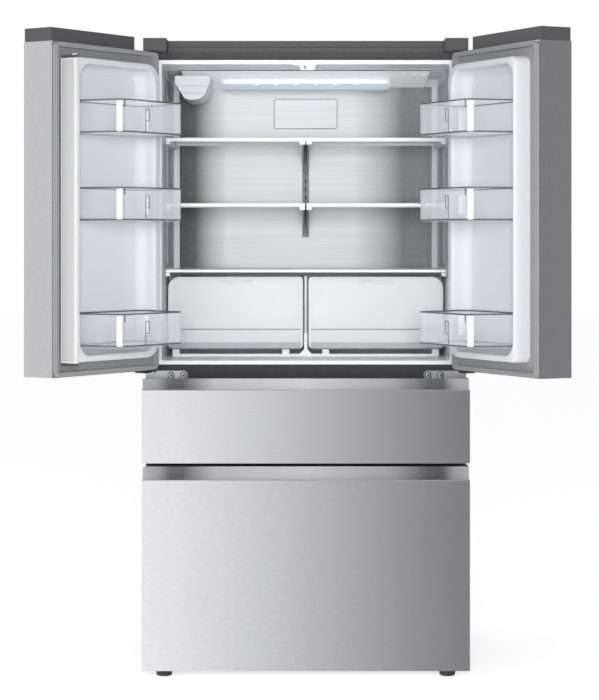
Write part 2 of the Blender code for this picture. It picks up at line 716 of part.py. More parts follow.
def make_ceiling_pieces(looks, cabinet):
    """The light's lens on the ceiling duct, and the water filter's housing beside it."""
    slope = CEILING_DUCT_DROP / (ROOM_BACK - CEILING_DUCT_FRONT)
    back = PANEL_FRONT - 2 * GAP
    front = back - LENS_DEPTH

    def under_duct(y):
        return FRIDGE_CEILING - 2 * GAP - slope * (y - CEILING_DUCT_FRONT)

    outline = [
        (front, under_duct(front)),
        (back, under_duct(back)),
        (back, FRIDGE_CEILING - LENS_HEIGHT),
        (back - LENS_BELLY, FRIDGE_CEILING - LENS_BELLY_DROP),
        (front + LENS_NOSE, FRIDGE_CEILING - LENS_NOSE),
    ]
    lens = prism(outline, -LENS_WIDTH / 2, LENS_WIDTH / 2, "X")
    piece("ceiling_light_lens", looks["lens"], cabinet, lens, (0, back, FRIDGE_CEILING))

    half = WATER_FILTER_WIDTH / 2
    middle = WATER_FILTER_SIDE_ROOM + half - ROOM_HALF
    filter_back = PANEL_FRONT - WATER_FILTER_BACK_ROOM
    filter_front = filter_back - WATER_FILTER_LENGTH
    top = under_duct(filter_back)
    drop = top - (FRIDGE_CEILING - WATER_FILTER_DROP)
    outline = [(middle + half * across, top - drop * down) for across, down in WATER_FILTER_PROFILE]
    housing = prism(outline, filter_front, filter_back, "Y")
    origin = (middle, filter_front, top)
    piece("water_filter_housing", looks["white"], cabinet, housing, origin)


def make_ladder(looks, cabinet):
    """A slotted upright on the back wall, with a cantilever bracket under each split shelf."""
    back = PANEL_FRONT - GAP
    front = back - LADDER_DEPTH
    low = LOWER_SHELF - LADDER_BELOW
    high = UPPER_SHELF + SHELF_THICKNESS
    upright = block((-LADDER_WIDTH / 2, front, low), (LADDER_WIDTH / 2, back, high))
    count = int((high - low) / LADDER_PITCH)
    slots = []
    for number in range(count):
        middle = low + (number + 0.5) * (high - low) / count
        slots.append(
            block(
                (-LADDER_SLOT_WIDTH / 2, 0, middle - LADDER_SLOT / 2),
                (LADDER_SLOT_WIDTH / 2, back - LADDER_DEPTH / 2, middle + LADDER_SLOT / 2),
            )
        )
    piece("shelf_ladder", looks["white"], cabinet, upright, (0, back, low), cut=slots)
    root = front - GAP
    tip = SHELF_FRONT + BRACKET_SETBACK
    for name, shelf in (("upper", UPPER_SHELF), ("lower", LOWER_SHELF)):
        top = shelf - GAP
        curve = [
            (root - (root - tip) * along, top - BRACKET_HEIGHT * down) for along, down in BRACKET_PROFILE
        ]
        side = [(root, top), *curve, (tip, top - BRACKET_TIP), (tip, top)]
        arms = [
            prism(side, middle - BRACKET_PLATE / 2, middle + BRACKET_PLATE / 2, "X")
            for middle in (-BRACKET_SPREAD, BRACKET_SPREAD)
        ]
        tie = block(
            (-BRACKET_SPREAD, root - BRACKET_PLATE, top - BRACKET_HEIGHT), (BRACKET_SPREAD, root, top)
        )
        piece(f"{name}_shelf_bracket", looks["dark"], cabinet, arms[0], (0, root, top), add=[tie, arms[1]])


def make_shelves(looks, cabinet):
    for row, height in (("upper", UPPER_SHELF), ("lower", LOWER_SHELF)):
        for side, name in ((-1, "left"), (1, "right")):
            plate = block(
                (side * SHELF_SPLIT / 2, SHELF_FRONT, height),
                (side * (ROOM_HALF - GAP), SHELF_BACK, height + SHELF_THICKNESS),
            )
            origin = (side * ROOM_HALF / 2, SHELF_FRONT, height)
            piece(f"{row}_{name}_shelf", looks["glass"], cabinet, plate, origin)
    cover = block(
        (-ROOM_HALF + GAP, SHELF_FRONT, CRISPER_COVER),
        (ROOM_HALF - GAP, SHELF_BACK, CRISPER_COVER + SHELF_THICKNESS),
    )
    piece("crisper_cover", looks["glass"], cabinet, cover, (0, SHELF_FRONT, CRISPER_COVER))


def make_crispers(looks, cabinet):
    """Two see-through drawers on a runner base with a post between them."""
    bottom = FRIDGE_FLOOR + CRISPER_LIFT
    front = CRISPER_FRONT + CRISPER_BASE_INSET
    outer = ROOM_HALF - CRISPER_SIDE_ROOM
    floor = FRIDGE_FLOOR + GAP
    plate = block(
        (-outer + CRISPER_BASE_INSET, front, floor),
        (outer - CRISPER_BASE_INSET, CRISPER_BACK, floor + CRISPER_BASE_PLATE),
    )
    post_top = CRISPER_COVER - LEDGE_HEIGHT - 2 * GAP
    post_half = CRISPER_POST / 2
    foot = post_half + CRISPER_RUNNER
    flare = [
        (-foot, floor),
        (foot, floor),
        (post_half + GAP, bottom - 2 * GAP),
        (post_half, post_top),
        (-post_half, post_top),
        (-post_half - GAP, bottom - 2 * GAP),
    ]
    add = [prism(flare, front, CRISPER_BACK, "Y")]
    for side in (-1, 1):
        for near in (CRISPER_MIDDLE + 2 * CRISPER_RUNNER, outer - CRISPER_BASE_INSET - CRISPER_RUNNER):
            runner_end = (side * (near + CRISPER_RUNNER), CRISPER_BACK, bottom - GAP)
            add.append(block((side * near, front, floor), runner_end))
    piece("crisper_base", looks["white"], cabinet, plate, (0, CRISPER_FRONT, floor), add=add)
    for side, name in ((-1, "left"), (1, "right")):
        box = tray(
            rectangle((side * CRISPER_MIDDLE, CRISPER_FRONT), (side * outer, CRISPER_BACK)),
            bottom,
            bottom + CRISPER_HEIGHT,
            CRISPER_WALL,
            CRISPER_WALL,
        )
        origin = (side * (CRISPER_MIDDLE + outer) / 2, CRISPER_FRONT, bottom)
        piece(f"{name}_crisper", looks["clear"], cabinet, box, origin)


# Doors


def pin_holes(side):
    """Bores at both ends of a door for the hinge pins."""
    depth = 2 * (PIN_LENGTH + PIN_CLEARANCE)
    return [
        rod((side * HINGE_X, HINGE_DEPTH, end), PIN_RADIUS + PIN_CLEARANCE, depth)
        for end in (DOOR_BOTTOM, DOOR_TOP)
    ]


def make_door_skin(name, side, looks, frame):
    """A thin steel pan whose edges turn in over the door's inner face."""
    free, edge = side * FREE_EDGE, side * WIDTH / 2
    pan = block((free, 0, DOOR_BOTTOM), (edge, DOOR_THICKNESS, DOOR_TOP))
    hollow = block(
        (free + side * SHEET, SHEET, DOOR_BOTTOM + SHEET),
        (edge - side * SHEET, DOOR_THICKNESS - SHEET, DOOR_TOP - SHEET),
    )
    mouth = block(
        (free + side * SKIN_RETURN, DOOR_THICKNESS / 2, DOOR_BOTTOM + SKIN_RETURN / 2),
        (edge - side * SKIN_RETURN, WALL + DOOR_THICKNESS, DOOR_TOP - SKIN_RETURN / 2),
    )
    origin = (side * HINGE_X, HINGE_DEPTH, DOOR_BOTTOM)
    cut = [hollow, mouth, *pin_holes(side)]
    piece(f"{name}_door_skin", looks["steel"], frame, pan, origin, cut=cut)


def make_door_liner(name, side, looks, frame):
    """The foam core and the moulded inner panel, with raised dikes round a shallow dish."""
    free, edge = side * FREE_EDGE, side * WIDTH / 2
    wall = SHEET + GAP
    core = block(
        (free + side * wall, wall, DOOR_BOTTOM + wall),
        (edge - side * wall, DOOR_THICKNESS - wall, DOOR_TOP - wall),
    )
    neck_margin = SKIN_RETURN + GAP
    neck = block(
        (free + side * neck_margin, DOOR_THICKNESS / 2, DOOR_BOTTOM + SKIN_RETURN / 2 + GAP),
        (edge - side * neck_margin, DOOR_THICKNESS, DOOR_TOP - SKIN_RETURN / 2 - GAP),
    )
    low, high = DOOR_BOTTOM + LINER_EDGE_MARGIN, DOOR_TOP - LINER_EDGE_MARGIN
    near = side * (FREE_EDGE + LINER_FREE_MARGIN)
    far = side * (WIDTH / 2 - LINER_HINGE_MARGIN)
    small = LINER_CORNER / 5
    radii = (small, LINER_CORNER, LINER_CORNER, small)
    panel = prism(
        mirrored(rounded((abs(near), low), (abs(far), high), radii), side),
        DOOR_THICKNESS / 2,
        DOOR_THICKNESS + DIKE_HEIGHT,
        "Y",
    )
    dish_low = (abs(near) + DIKE_FREE, low + DIKE_EDGE)
    dish_high = (abs(far) - DIKE_HINGE, high - DIKE_EDGE)
    dish_radii = (small, DISH_CORNER, DISH_CORNER, small)
    dish = prism(
        mirrored(rounded(dish_low, dish_high, dish_radii), side),
        DISH_FACE,
        DOOR_THICKNESS + 2 * DIKE_HEIGHT,
        "Y",
    )
    origin = (side * HINGE_X, HINGE_DEPTH, DOOR_BOTTOM)
    cut = [dish, *pin_holes(side)]
    piece(f"{name}_door_liner", looks["white"], frame, core, origin, add=[neck, panel], cut=cut)


def mirrored(outline, side):
    return [(side * a, b) for a, b in outline]


def make_door_cap(name, side, looks, frame):
    low = DOOR_TOP + GAP
    cap = block(
        (side * FREE_EDGE, CAP_INSET, low),
        (side * (WIDTH / 2 - CAP_NOTCH), DOOR_THICKNESS - CAP_INSET, low + CAP_HEIGHT),
    )
    piece(f"{name}_door_cap", looks["dark"], frame, cap, (side * FREE_EDGE, CAP_INSET, low))


def ring(low, high, near, far, width):
    """A rectangular ring of even width, standing between two depths."""
    outside = block((low[0], near, low[1]), (high[0], far, high[1]))
    inside = block(
        (low[0] + width, near - width, low[1] + width), (high[0] - width, far + width, high[1] - width)
    )
    return outside, inside


def make_gasket(name, looks, frame, low, high):
    near, far = DOOR_THICKNESS + GAP, CASE_FRONT - GAP
    outside, inside = ring(low, high, near, far, GASKET_WIDTH)
    middle = ((low[0] + high[0]) / 2, near, (low[1] + high[1]) / 2)
    piece(name, looks["rubber"], frame, outside, middle, cut=[inside])


def make_door_gasket(name, side, looks, frame):
    reach = sorted((side * (FREE_EDGE + GASKET_FREE_INSET), side * (WIDTH / 2 - GASKET_HINGE_INSET)))
    low = (reach[0], DOOR_BOTTOM + GASKET_EDGE_INSET)
    high = (reach[1], DOOR_TOP - GASKET_EDGE_INSET)
    make_gasket(f"{name}_door_gasket", looks, frame, low, high)


def make_door_bins(name, side, looks, frame):
    """Three lift-off bins between the dikes, narrowing towards their fronts."""
    near = FREE_EDGE + LINER_FREE_MARGIN + DIKE_FREE + 2 * GAP
    far = WIDTH / 2 - LINER_HINGE_MARGIN - DIKE_HINGE - 2 * GAP
    back = DISH_FACE + 2 * GAP
    shoulder = DOOR_THICKNESS + DIKE_HEIGHT
    front = DOOR_THICKNESS + BIN_REACH
    outline = [
        (near, back),
        (far, back),
        (far, shoulder),
        (far - BIN_HINGE_TAPER, front),
        (near + BIN_FREE_TAPER, front),
        (near, shoulder),
    ]
    low = DOOR_BOTTOM + DOOR_LAP + FLOOR_LIP
    for lift, row in zip(BIN_LIFTS, BIN_NAMES):
        bottom = low + lift
        box = tray(mirrored(outline, side), bottom, bottom + BIN_HEIGHT, BIN_WALL, BIN_WALL)
        bmesh.ops.recalc_face_normals(box, faces=box.faces)
        origin = (side * (near + far) / 2, back, bottom)
        piece(f"{name}_{row}_bin", looks["clear"], frame, box, origin)


def make_mullion(looks, door):
    """The flap that seals the split between the doors, folded back on the open left door."""
    pivot = (FLAP_PIVOT_X, FLAP_PIVOT_Y, DOOR_BOTTOM)
    frame = Frame("mullion_axis", pivot, math.pi / 2, door)
    low, high = FRIDGE_OPENING[0] + FLAP_END_ROOM + FLOOR_LIP, FRIDGE_CEILING - FLAP_END_ROOM
    flap = block(
        (-FLAP_WIDTH / 2, FLAP_FRONT, low), (FLAP_WIDTH / 2, FLAP_FRONT + FLAP_THICKNESS, high)
    )
    piece("mullion_flap", looks["zinc"], frame, flap, pivot)


def make_doors(looks, cabinet):
    for side, name, opening in ((-1, "left", -LEFT_OPEN), (1, "right", RIGHT_OPEN)):
        frame = Frame(f"{name}_hinge_axis", (side * HINGE_X, HINGE_DEPTH, DOOR_BOTTOM), opening, cabinet)
        make_door_skin(name, side, looks, frame)
        make_door_liner(name, side, looks, frame)
        make_door_cap(name, side, looks, frame)
        make_door_gasket(name, side, looks, frame)
        make_door_bins(name, side, looks, frame)
        if name == "left":
            make_mullion(looks, frame)


# Drawers


def scooped_front(bottom, top, scoop):
    """A drawer front's side view: a flat face, a lip, and a finger hollow that rises to the back."""
    edge = top - scoop
    outline = [(0, bottom), (0, edge - SCOOP_LIP / 4), (SCOOP_LIP / 4, edge)]
    steps = 8
    for step in range(steps + 1):
        part = step / steps
        y = SCOOP_LIP + (SCOOP_DEPTH - SCOOP_LIP) * part
        z = edge - SCOOP_DIP * math.sin(math.pi * part) + scoop * part**2
        outline.append((y, z))
    return outline + [(DOOR_THICKNESS, top), (DOOR_THICKNESS, bottom)]


def front_core(bottom, top, scoop, room):
    """The space inside a drawer front's steel pan, shrunk by a room all round."""
    half = WIDTH / 2 - SHEET - room
    lower = block(
        (-half, SHEET + room, bottom + SHEET + room),
        (half, DOOR_THICKNESS + WALL - room, top - scoop - SCOOP_DIP - room),
    )
    upper = block(
        (-half, SCOOP_DEPTH + SCOOP_LIP + room, bottom + scoop + room),
        (half, DOOR_THICKNESS + WALL - room, top - SHEET - room),
    )
    return lower, upper


def foot_pockets():
    """Clear room over the feet in the bottom of the freezer front."""
    half = FOOT_RADIUS + FOOT_POCKET_ROOM
    return [
        block(
            (side * FOOT_X - half, FOOT_Y - half, 0),
            (side * FOOT_X + half, 2 * DOOR_THICKNESS, CASE_BOTTOM + BASE_HEIGHT + FOOT_POCKET_ROOM),
        )
        for side in (-1, 1)
    ]


def make_front(name, looks, cabinet, bottom, top, scoop, pockets=()):
    pan = prism(scooped_front(bottom, top, scoop), -WIDTH / 2, WIDTH / 2, "X")
    cut = [*front_core(bottom, top, scoop, 0), *pockets]
    piece(name, looks["steel"], cabinet, pan, (0, 0, bottom), cut=cut)


def make_box(name, looks, cabinet, front, box, pockets=()):
    """A drawer's box, moulded in one with the core that fills its front."""
    bottom, top, scoop = front
    floor, rim, back = box
    half = ROOM_HALF - DRAWER_SIDE_ROOM
    lower, upper = front_core(bottom, top, scoop, GAP)
    trim = block((-WIDTH, DOOR_THICKNESS, 0), (WIDTH, 2 * DEPTH, HEIGHT))
    start = DOOR_THICKNESS - DRAWER_WALL
    body = block((-half, start, floor), (half, back, rim))
    well = block(
        (-half + DRAWER_WALL, DOOR_THICKNESS + DRAWER_WALL, floor + DRAWER_WALL),
        (half - DRAWER_WALL, back - DRAWER_WALL, HEIGHT),
    )
    piece(
        name,
        looks["white"],
        cabinet,
        lower,
        (0, DOOR_THICKNESS, floor),
        add=[upper],
        cut=[trim, *pockets],
        then_add=[body],
        then_cut=[well],
    )


def make_drawers(looks, cabinet):
    drawer = (DRAWER_FRONT_BOTTOM, DRAWER_FRONT_TOP, DRAWER_SCOOP)
    freezer = (FRONT_BOTTOM, FREEZER_FRONT_TOP, FREEZER_SCOOP)
    make_front("drawer_front", looks, cabinet, *drawer)
    make_front("freezer_front", looks, cabinet, *freezer, pockets=foot_pockets())
    box = (DRAWER_ROOM_FLOOR + BOX_FLOOR_ROOM, DRAWER_CEILING - DRAWER_TOP_ROOM, ROOM_BACK - DRAWER_BACK_ROOM)
    make_box("drawer_box", looks, cabinet, drawer, box)
    basket_rim = TRAY_RIM - TRAY_HEIGHT - BASKET_TOP_ROOM
    basket = (FREEZER_FLOOR + BOX_FLOOR_ROOM, basket_rim, STEP_FRONT - BASKET_BACK_ROOM)
    make_box("freezer_basket", looks, cabinet, freezer, basket, pockets=foot_pockets())
    reach = WIDTH / 2 - GASKET_HINGE_INSET
    for name, opening in (("drawer", DRAWER_OPENING), ("freezer", FREEZER_OPENING)):
        low = (-reach, opening[0] - GASKET_WIDTH)
        high = (reach, opening[1] + GASKET_WIDTH)
        make_gasket(f"{name}_gasket", looks, cabinet, low, high)
    half = ROOM_HALF - DRAWER_SIDE_ROOM
    start = CASE_FRONT + FLANGE
    outline = rectangle((-half, start), (half, start + TRAY_LENGTH))
    shelf = tray(outline, TRAY_RIM - TRAY_HEIGHT, TRAY_RIM, DRAWER_WALL, DRAWER_WALL)
    piece("freezer_tray", looks["clear"], cabinet, shelf, (0, start, TRAY_RIM - TRAY_HEIGHT))


# Cooling


def finned_coil(low, high, fins):
    """A coil block with slots between its fins, left joined at the bottom and the middle."""
    body = block(low, high)
    pitch = (high[0] - low[0]) / fins
    slots = []
    for number in range(fins):
        start = low[0] + number * pitch + COIL_FIN
        stop = low[0] + (number + 1) * pitch
        if number == fins - 1:
            stop -= COIL_FIN
        slot_low = (start, low[1] - COIL_FIN, low[2] + 3 * COIL_FIN)
        slots.append(block(slot_low, (stop, high[1] + COIL_FIN, high[2] + COIL_FIN)))
    return body, slots


def fan(centre, axis):
    """A hub with flat pitched blades, its axis along X or Y."""
    hub = rod(centre, FAN_HUB, FAN_LENGTH, axis, 20)
    blades = []
    for number in range(FAN_BLADES):
        blade = block((-FAN_RADIUS / 4, -SHEET, FAN_HUB / 2), (FAN_RADIUS / 4, SHEET, FAN_RADIUS))
        pitch = Matrix.Rotation(BLADE_PITCH, 4, "Z")
        turn = Matrix.Rotation(2 * math.pi * number / FAN_BLADES, 4, "Y")
        swing = Matrix.Rotation(math.pi / 2, 4, "Z") if axis == "X" else Matrix()
        place = Matrix.Translation(centre) @ swing @ turn @ pitch
        bmesh.ops.transform(blade, matrix=place, verts=blade.verts)
        blades.append(blade)
    return hub, blades


def make_machine_room(looks, cabinet):
    floor = CASE_BOTTOM + 2 * SHEET + GAP
    middle_y = (MACHINE_FRONT + LINER_BACK) / 2
    compressor_x = CASE_HALF - COMPRESSOR_INSET
    dome_middle = (compressor_x, middle_y, floor + COMPRESSOR_LIFT + COMPRESSOR_HEIGHT / 2)
    dome = rod(dome_middle, COMPRESSOR_RADIUS, COMPRESSOR_HEIGHT, sides=28)
    rims = [edge for edge in dome.edges if abs(edge.verts[0].co.z - edge.verts[1].co.z) < GAP]
    bmesh.ops.bevel(dome, geom=rims, offset=COMPRESSOR_EDGE, segments=3, affect="EDGES", profile=0.5)
    reach, breadth = COMPRESSOR_RADIUS * PLATE_REACH, COMPRESSOR_RADIUS * PLATE_BREADTH
    mount = block(
        (compressor_x - reach, middle_y - breadth, floor),
        (compressor_x + reach, middle_y + breadth, floor + COMPRESSOR_PLATE),
    )
    origin = (compressor_x, middle_y, floor)
    piece("compressor", looks["iron"], cabinet, dome, origin, add=[mount], smooth=True)
    condenser_x = CONDENSER_INSET - CASE_HALF
    low = (condenser_x - CONDENSER_WIDTH / 2, middle_y - COIL_DEPTH / 2, floor)
    high = (condenser_x + CONDENSER_WIDTH / 2, middle_y + COIL_DEPTH / 2, floor + COIL_HEIGHT)
    body, slots = finned_coil(low, high, COIL_FINS)
    piece("condenser", looks["iron"], cabinet, body, low, cut=slots)
    hub_at = (high[0] + CONDENSER_FAN_ROOM, middle_y, floor + COIL_HEIGHT / 2)
    hub, blades = fan(hub_at, "X")
    piece("condenser_fan", looks["black"], cabinet, hub, hub_at, add=blades)
    cover_low, cover_high = CASE_BOTTOM + BASE_HEIGHT / 2, MACHINE_TOP + COVER_LAP
    half = INSIDE_HALF - COVER_SIDE_ROOM
    back = CASE_BACK + GAP + COVER_THICKNESS
    cover = block((-half, CASE_BACK + GAP, cover_low), (half, back, cover_high))
    gland_middle = (-half + WALL, (CASE_BACK + DEPTH) / 2 + GAP, cover_high - WALL)
    gland = rod(gland_middle, GLAND_RADIUS, BACK_INSET - 2 * GAP, "Y")
    pitch = half / LOUVRES
    closed = (1 - LOUVRE_OPEN) / 2
    louvres = [
        block(
            (-half / 2 + (number + closed) * pitch, 0, cover_low + WALL),
            (-half / 2 + (number + 1 - closed) * pitch, 2 * DEPTH, cover_high - 2 * WALL),
        )
        for number in range(LOUVRES)
    ]
    piece(
        "machine_cover", looks["black"], cabinet, cover, (0, CASE_BACK, cover_low), add=[gland], cut=louvres
    )


def make_evaporator(looks, cabinet):
    """The cold coil and its fan, in the duct behind the back panel."""
    depth = ROOM_BACK + EVAPORATOR_POCKET / 2
    floor = FRIDGE_FLOOR + EVAPORATOR_LIFT + 2 * GAP
    low = (-EVAPORATOR_WIDTH / 2, depth - EVAPORATOR_DEPTH / 2, floor)
    high = (EVAPORATOR_WIDTH / 2, depth + EVAPORATOR_DEPTH / 2, floor + EVAPORATOR_HEIGHT)
    body, slots = finned_coil(low, high, 2 * COIL_FINS)
    piece("evaporator", looks["aluminium"], cabinet, body, low, cut=slots)
    hub_at = (0, depth, FRIDGE_FLOOR + EVAPORATOR_FAN_LIFT)
    hub, blades = fan(hub_at, "Y")
    piece("evaporator_fan", looks["black"], cabinet, hub, hub_at, add=blades)


def opened(side, angle, x, y):
    """Where a point of a shut door goes when the door is opened."""
    turned = Matrix.Rotation(side * angle, 2) @ Vector((x - side * HINGE_X, y - HINGE_DEPTH))
    return turned.x + side * HINGE_X, turned.y + HINGE_DEPTH


def footprint_middle():
    """The middle of the ground that the opened refrigerator covers."""
    bin_x = FREE_EDGE + LINER_FREE_MARGIN + DIKE_FREE + BIN_FREE_TAPER
    spots = []
    for side, angle in ((-1, LEFT_OPEN), (1, RIGHT_OPEN)):
        corners = ((FREE_EDGE, 0), (FREE_EDGE, CASE_FRONT), (bin_x, DOOR_THICKNESS + BIN_REACH))
        spots += [opened(side, angle, side * x, y) for x, y in corners]
    across = [spot[0] for spot in spots]
    along = [spot[1] for spot in spots]
    return (min(across) + max(across)) / 2, (min(along) + DEPTH) / 2


def build():
    for item in list(bpy.data.objects):
        bpy.data.objects.remove(item, do_unlink=True)
    looks = make_looks()
    middle = footprint_middle()
    cabinet = Frame("cabinet_frame", (0, 0, 0))
    cabinet.empty.location = (-middle[0], -middle[1], 0)
    make_case(looks, cabinet)
    make_fridge_liner(looks, cabinet)
    make_drawer_liner(looks, cabinet)
    make_freezer_liner(looks, cabinet)
    make_base(looks, cabinet)
    make_feet(looks, cabinet)
    make_rollers(looks, cabinet)
    make_top_cover(looks, cabinet)
    make_upper_hinges(looks, cabinet)
    make_lower_hinges(looks, cabinet)
    make_back_panel(looks, cabinet)
    make_ceiling_pieces(looks, cabinet)
    make_ladder(looks, cabinet)
    make_shelves(looks, cabinet)
    make_crispers(looks, cabinet)
    make_doors(looks, cabinet)
    make_drawers(looks, cabinet)
    make_machine_room(looks, cabinet)
    make_evaporator(looks, cabinet)


build()
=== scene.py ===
import json
import math

import bmesh
import bpy
from mathutils import Matrix, Vector


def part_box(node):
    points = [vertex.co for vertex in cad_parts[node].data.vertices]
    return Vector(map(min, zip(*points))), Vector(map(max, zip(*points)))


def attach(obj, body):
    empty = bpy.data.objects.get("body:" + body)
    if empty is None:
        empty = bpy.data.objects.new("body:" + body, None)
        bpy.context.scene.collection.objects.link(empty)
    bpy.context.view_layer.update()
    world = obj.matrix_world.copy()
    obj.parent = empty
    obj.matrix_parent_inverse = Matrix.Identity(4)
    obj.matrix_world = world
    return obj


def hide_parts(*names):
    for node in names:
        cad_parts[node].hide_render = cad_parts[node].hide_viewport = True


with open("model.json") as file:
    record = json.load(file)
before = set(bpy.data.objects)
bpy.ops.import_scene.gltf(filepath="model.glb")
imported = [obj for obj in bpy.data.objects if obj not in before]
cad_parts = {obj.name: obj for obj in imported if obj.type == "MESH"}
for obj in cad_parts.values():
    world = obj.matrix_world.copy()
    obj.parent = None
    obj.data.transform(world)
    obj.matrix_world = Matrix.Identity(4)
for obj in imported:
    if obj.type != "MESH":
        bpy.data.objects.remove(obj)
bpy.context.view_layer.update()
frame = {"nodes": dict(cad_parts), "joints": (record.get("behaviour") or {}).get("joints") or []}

scene = bpy.context.scene
nodes = frame["nodes"]
print("frame loaded:", len(nodes), "nodes")


# Cabinet coordinates: x = 0 in the middle, y = 0 at the shut fronts, z from the floor

drawerLow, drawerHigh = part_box("drawer_front")
cabinetPlace = Matrix.Translation(((drawerLow.x + drawerHigh.x) / 2, drawerLow.y, 0))


def swungPlace(jointName):
    joint = next(j for j in frame["joints"] if j["name"] == jointName)
    pin = Matrix.Translation(joint["pos_m"])
    turn = Matrix.Rotation(math.radians(-joint["range_deg"][0]), 4, Vector(joint["axis"]))
    return pin @ turn @ pin.inverted() @ cabinetPlace  # from shut to the angle it rests at


doorSides = {
    "left": {"side": -1, "place": swungPlace("left_door_hinge")},
    "right": {"side": 1, "place": swungPlace("right_door_hinge")},
}


def boxOf(node, place=cabinetPlace):
    back = place.inverted()
    points = [back @ v.co for v in nodes[node].data.vertices]
    low = Vector([min(p[i] for p in points) for i in range(3)])
    high = Vector([max(p[i] for p in points) for i in range(3)])
    return low, high


# Shader groups that several finishes share


def newGroup(name, inputs, outputs):
    group = bpy.data.node_groups.new(name, "ShaderNodeTree")
    kinds = {4: "NodeSocketColor", 3: "NodeSocketVector"}
    for socket, value in inputs.items():
        kind = kinds[len(value)] if isinstance(value, tuple) else "NodeSocketFloat"
        made = group.interface.new_socket(name=socket, in_out="INPUT", socket_type=kind)
        made.default_value = value
    for socket, kind in outputs.items():
        group.interface.new_socket(name=socket, in_out="OUTPUT", socket_type=f"NodeSocket{kind}")
    return group, group.nodes.new("NodeGroupInput"), group.nodes.new("NodeGroupOutput")


def rampNode(tree, source, stops):
    ramp = tree.nodes.new("ShaderNodeValToRGB")
    elements = ramp.color_ramp.elements
    while len(elements) < len(stops):
        elements.new(0.5)
    for element, (place, shade) in zip(elements, stops):
        element.position = place
        element.color = (*shade, 1) if isinstance(shade, tuple) else (shade, shade, shade, 1)
    tree.links.new(source, ramp.inputs["Fac"])
    return ramp.outputs["Color"]


def feed(tree, socket, value):  # a link from another node, or a plain value
    if isinstance(value, bpy.types.NodeSocket):
        tree.links.new(value, socket)
    else:
        socket.default_value = value


def mixNode(tree, factor, first, second, blend="MIX"):
    mix = tree.nodes.new("ShaderNodeMix")
    mix.data_type = "RGBA"
    mix.blend_type = blend
    for socket, value in ((mix.inputs["Factor"], factor), (mix.inputs[6], first), (mix.inputs[7], second)):
        feed(tree, socket, value)
    return mix.outputs[2]


def mathNode(tree, operation, first, second=0.0):
    node = tree.nodes.new("ShaderNodeMath")
    node.operation = operation
    feed(tree, node.inputs[0], first)
    feed(tree, node.inputs[1], second)
    return node.outputs[0]


def makeGrainGroup():
    group, start, end = newGroup("surfaceGrain", {
        "Colour": (0.8, 0.8, 0.8, 1), "Tint": (0.7, 0.7, 0.7, 1), "Stretch": (1, 1, 1), "Scale": 200.0,
        "Strength": 0.5, "Roughness": 0.4, "Spread": 0.1,
    }, {"Colour": "Color", "Roughness": "Float", "Height": "Float"})
    link = group.links.new
    place = group.nodes.new("ShaderNodeTexCoord")
    stretch = group.nodes.new("ShaderNodeMapping")
    fine = group.nodes.new("ShaderNodeTexNoise")
    fine.inputs["Detail"].default_value = 3.0
    broad = group.nodes.new("ShaderNodeTexNoise")
    broad.inputs["Scale"].default_value = 3.5
    link(place.outputs["Object"], stretch.inputs["Vector"])
    link(start.outputs["Stretch"], stretch.inputs["Scale"])
    link(stretch.outputs["Vector"], fine.inputs["Vector"])
    link(start.outputs["Scale"], fine.inputs["Scale"])
    link(place.outputs["Object"], broad.inputs["Vector"])
    grained = mathNode(group, "MULTIPLY", fine.outputs["Fac"], 0.7)
    total = mathNode(group, "ADD", grained, mathNode(group, "MULTIPLY", broad.outputs["Fac"], 0.3))
    factor = mathNode(group, "MULTIPLY", total, start.outputs["Strength"])
    link(mixNode(group, factor, start.outputs["Colour"], start.outputs["Tint"]), end.inputs["Colour"])
    swing = mathNode(group, "MULTIPLY", mathNode(group, "SUBTRACT", total, 0.5), start.outputs["Spread"])
    link(mathNode(group, "ADD", swing, start.outputs["Roughness"]), end.inputs["Roughness"])
    link(fine.outputs["Fac"], end.inputs["Height"])
    return group


def makeWearGroup():
    group, start, end = newGroup("edgeWear", {
        "Colour": (0.8, 0.8, 0.8, 1), "Worn": (1, 1, 1, 1), "Amount": 0.4,
    }, {"Colour": "Color"})
    link = group.links.new
    shape = group.nodes.new("ShaderNodeNewGeometry")
    edge = rampNode(group, shape.outputs["Pointiness"], [(0.5, 0.0), (0.58, 1.0)])
    patches = group.nodes.new("ShaderNodeTexNoise")
    patches.inputs["Scale"].default_value = 60.0
    patchy = mathNode(group, "MULTIPLY", edge, patches.outputs["Fac"])
    amount = mathNode(group, "MULTIPLY", patchy, start.outputs["Amount"])
    link(mixNode(group, amount, start.outputs["Colour"], start.outputs["Worn"]), end.inputs["Colour"])
    return group


def makeDustGroup():
    group, start, end = newGroup("settledDust", {
        "Colour": (0.8, 0.8, 0.8, 1), "Dust": (0.62, 0.6, 0.57, 1), "Amount": 0.15,
    }, {"Colour": "Color"})
    link = group.links.new
    shape = group.nodes.new("ShaderNodeNewGeometry")
    split = group.nodes.new("ShaderNodeSeparateXYZ")
    link(shape.outputs["Normal"], split.inputs[0])
    upward = rampNode(group, split.outputs["Z"], [(0.55, 0.0), (0.95, 1.0)])
    clumps = group.nodes.new("ShaderNodeTexNoise")
    clumps.inputs["Scale"].default_value = 22.0
    clumps.inputs["Detail"].default_value = 5.0
    settled = mathNode(group, "MULTIPLY", upward, clumps.outputs["Fac"])
    amount = mathNode(group, "MULTIPLY", settled, start.outputs["Amount"])
    link(mixNode(group, amount, start.outputs["Colour"], start.outputs["Dust"]), end.inputs["Colour"])
    return group


grainGroup = makeGrainGroup()
wearGroup = makeWearGroup()
dustGroup = makeDustGroup()


def useGroup(tree, group, values):
    node = tree.nodes.new("ShaderNodeGroup")
    node.node_tree = group
    for socket, value in values.items():
        feed(tree, node.inputs[socket], value)
    return node


bumpDepth = 0.0004


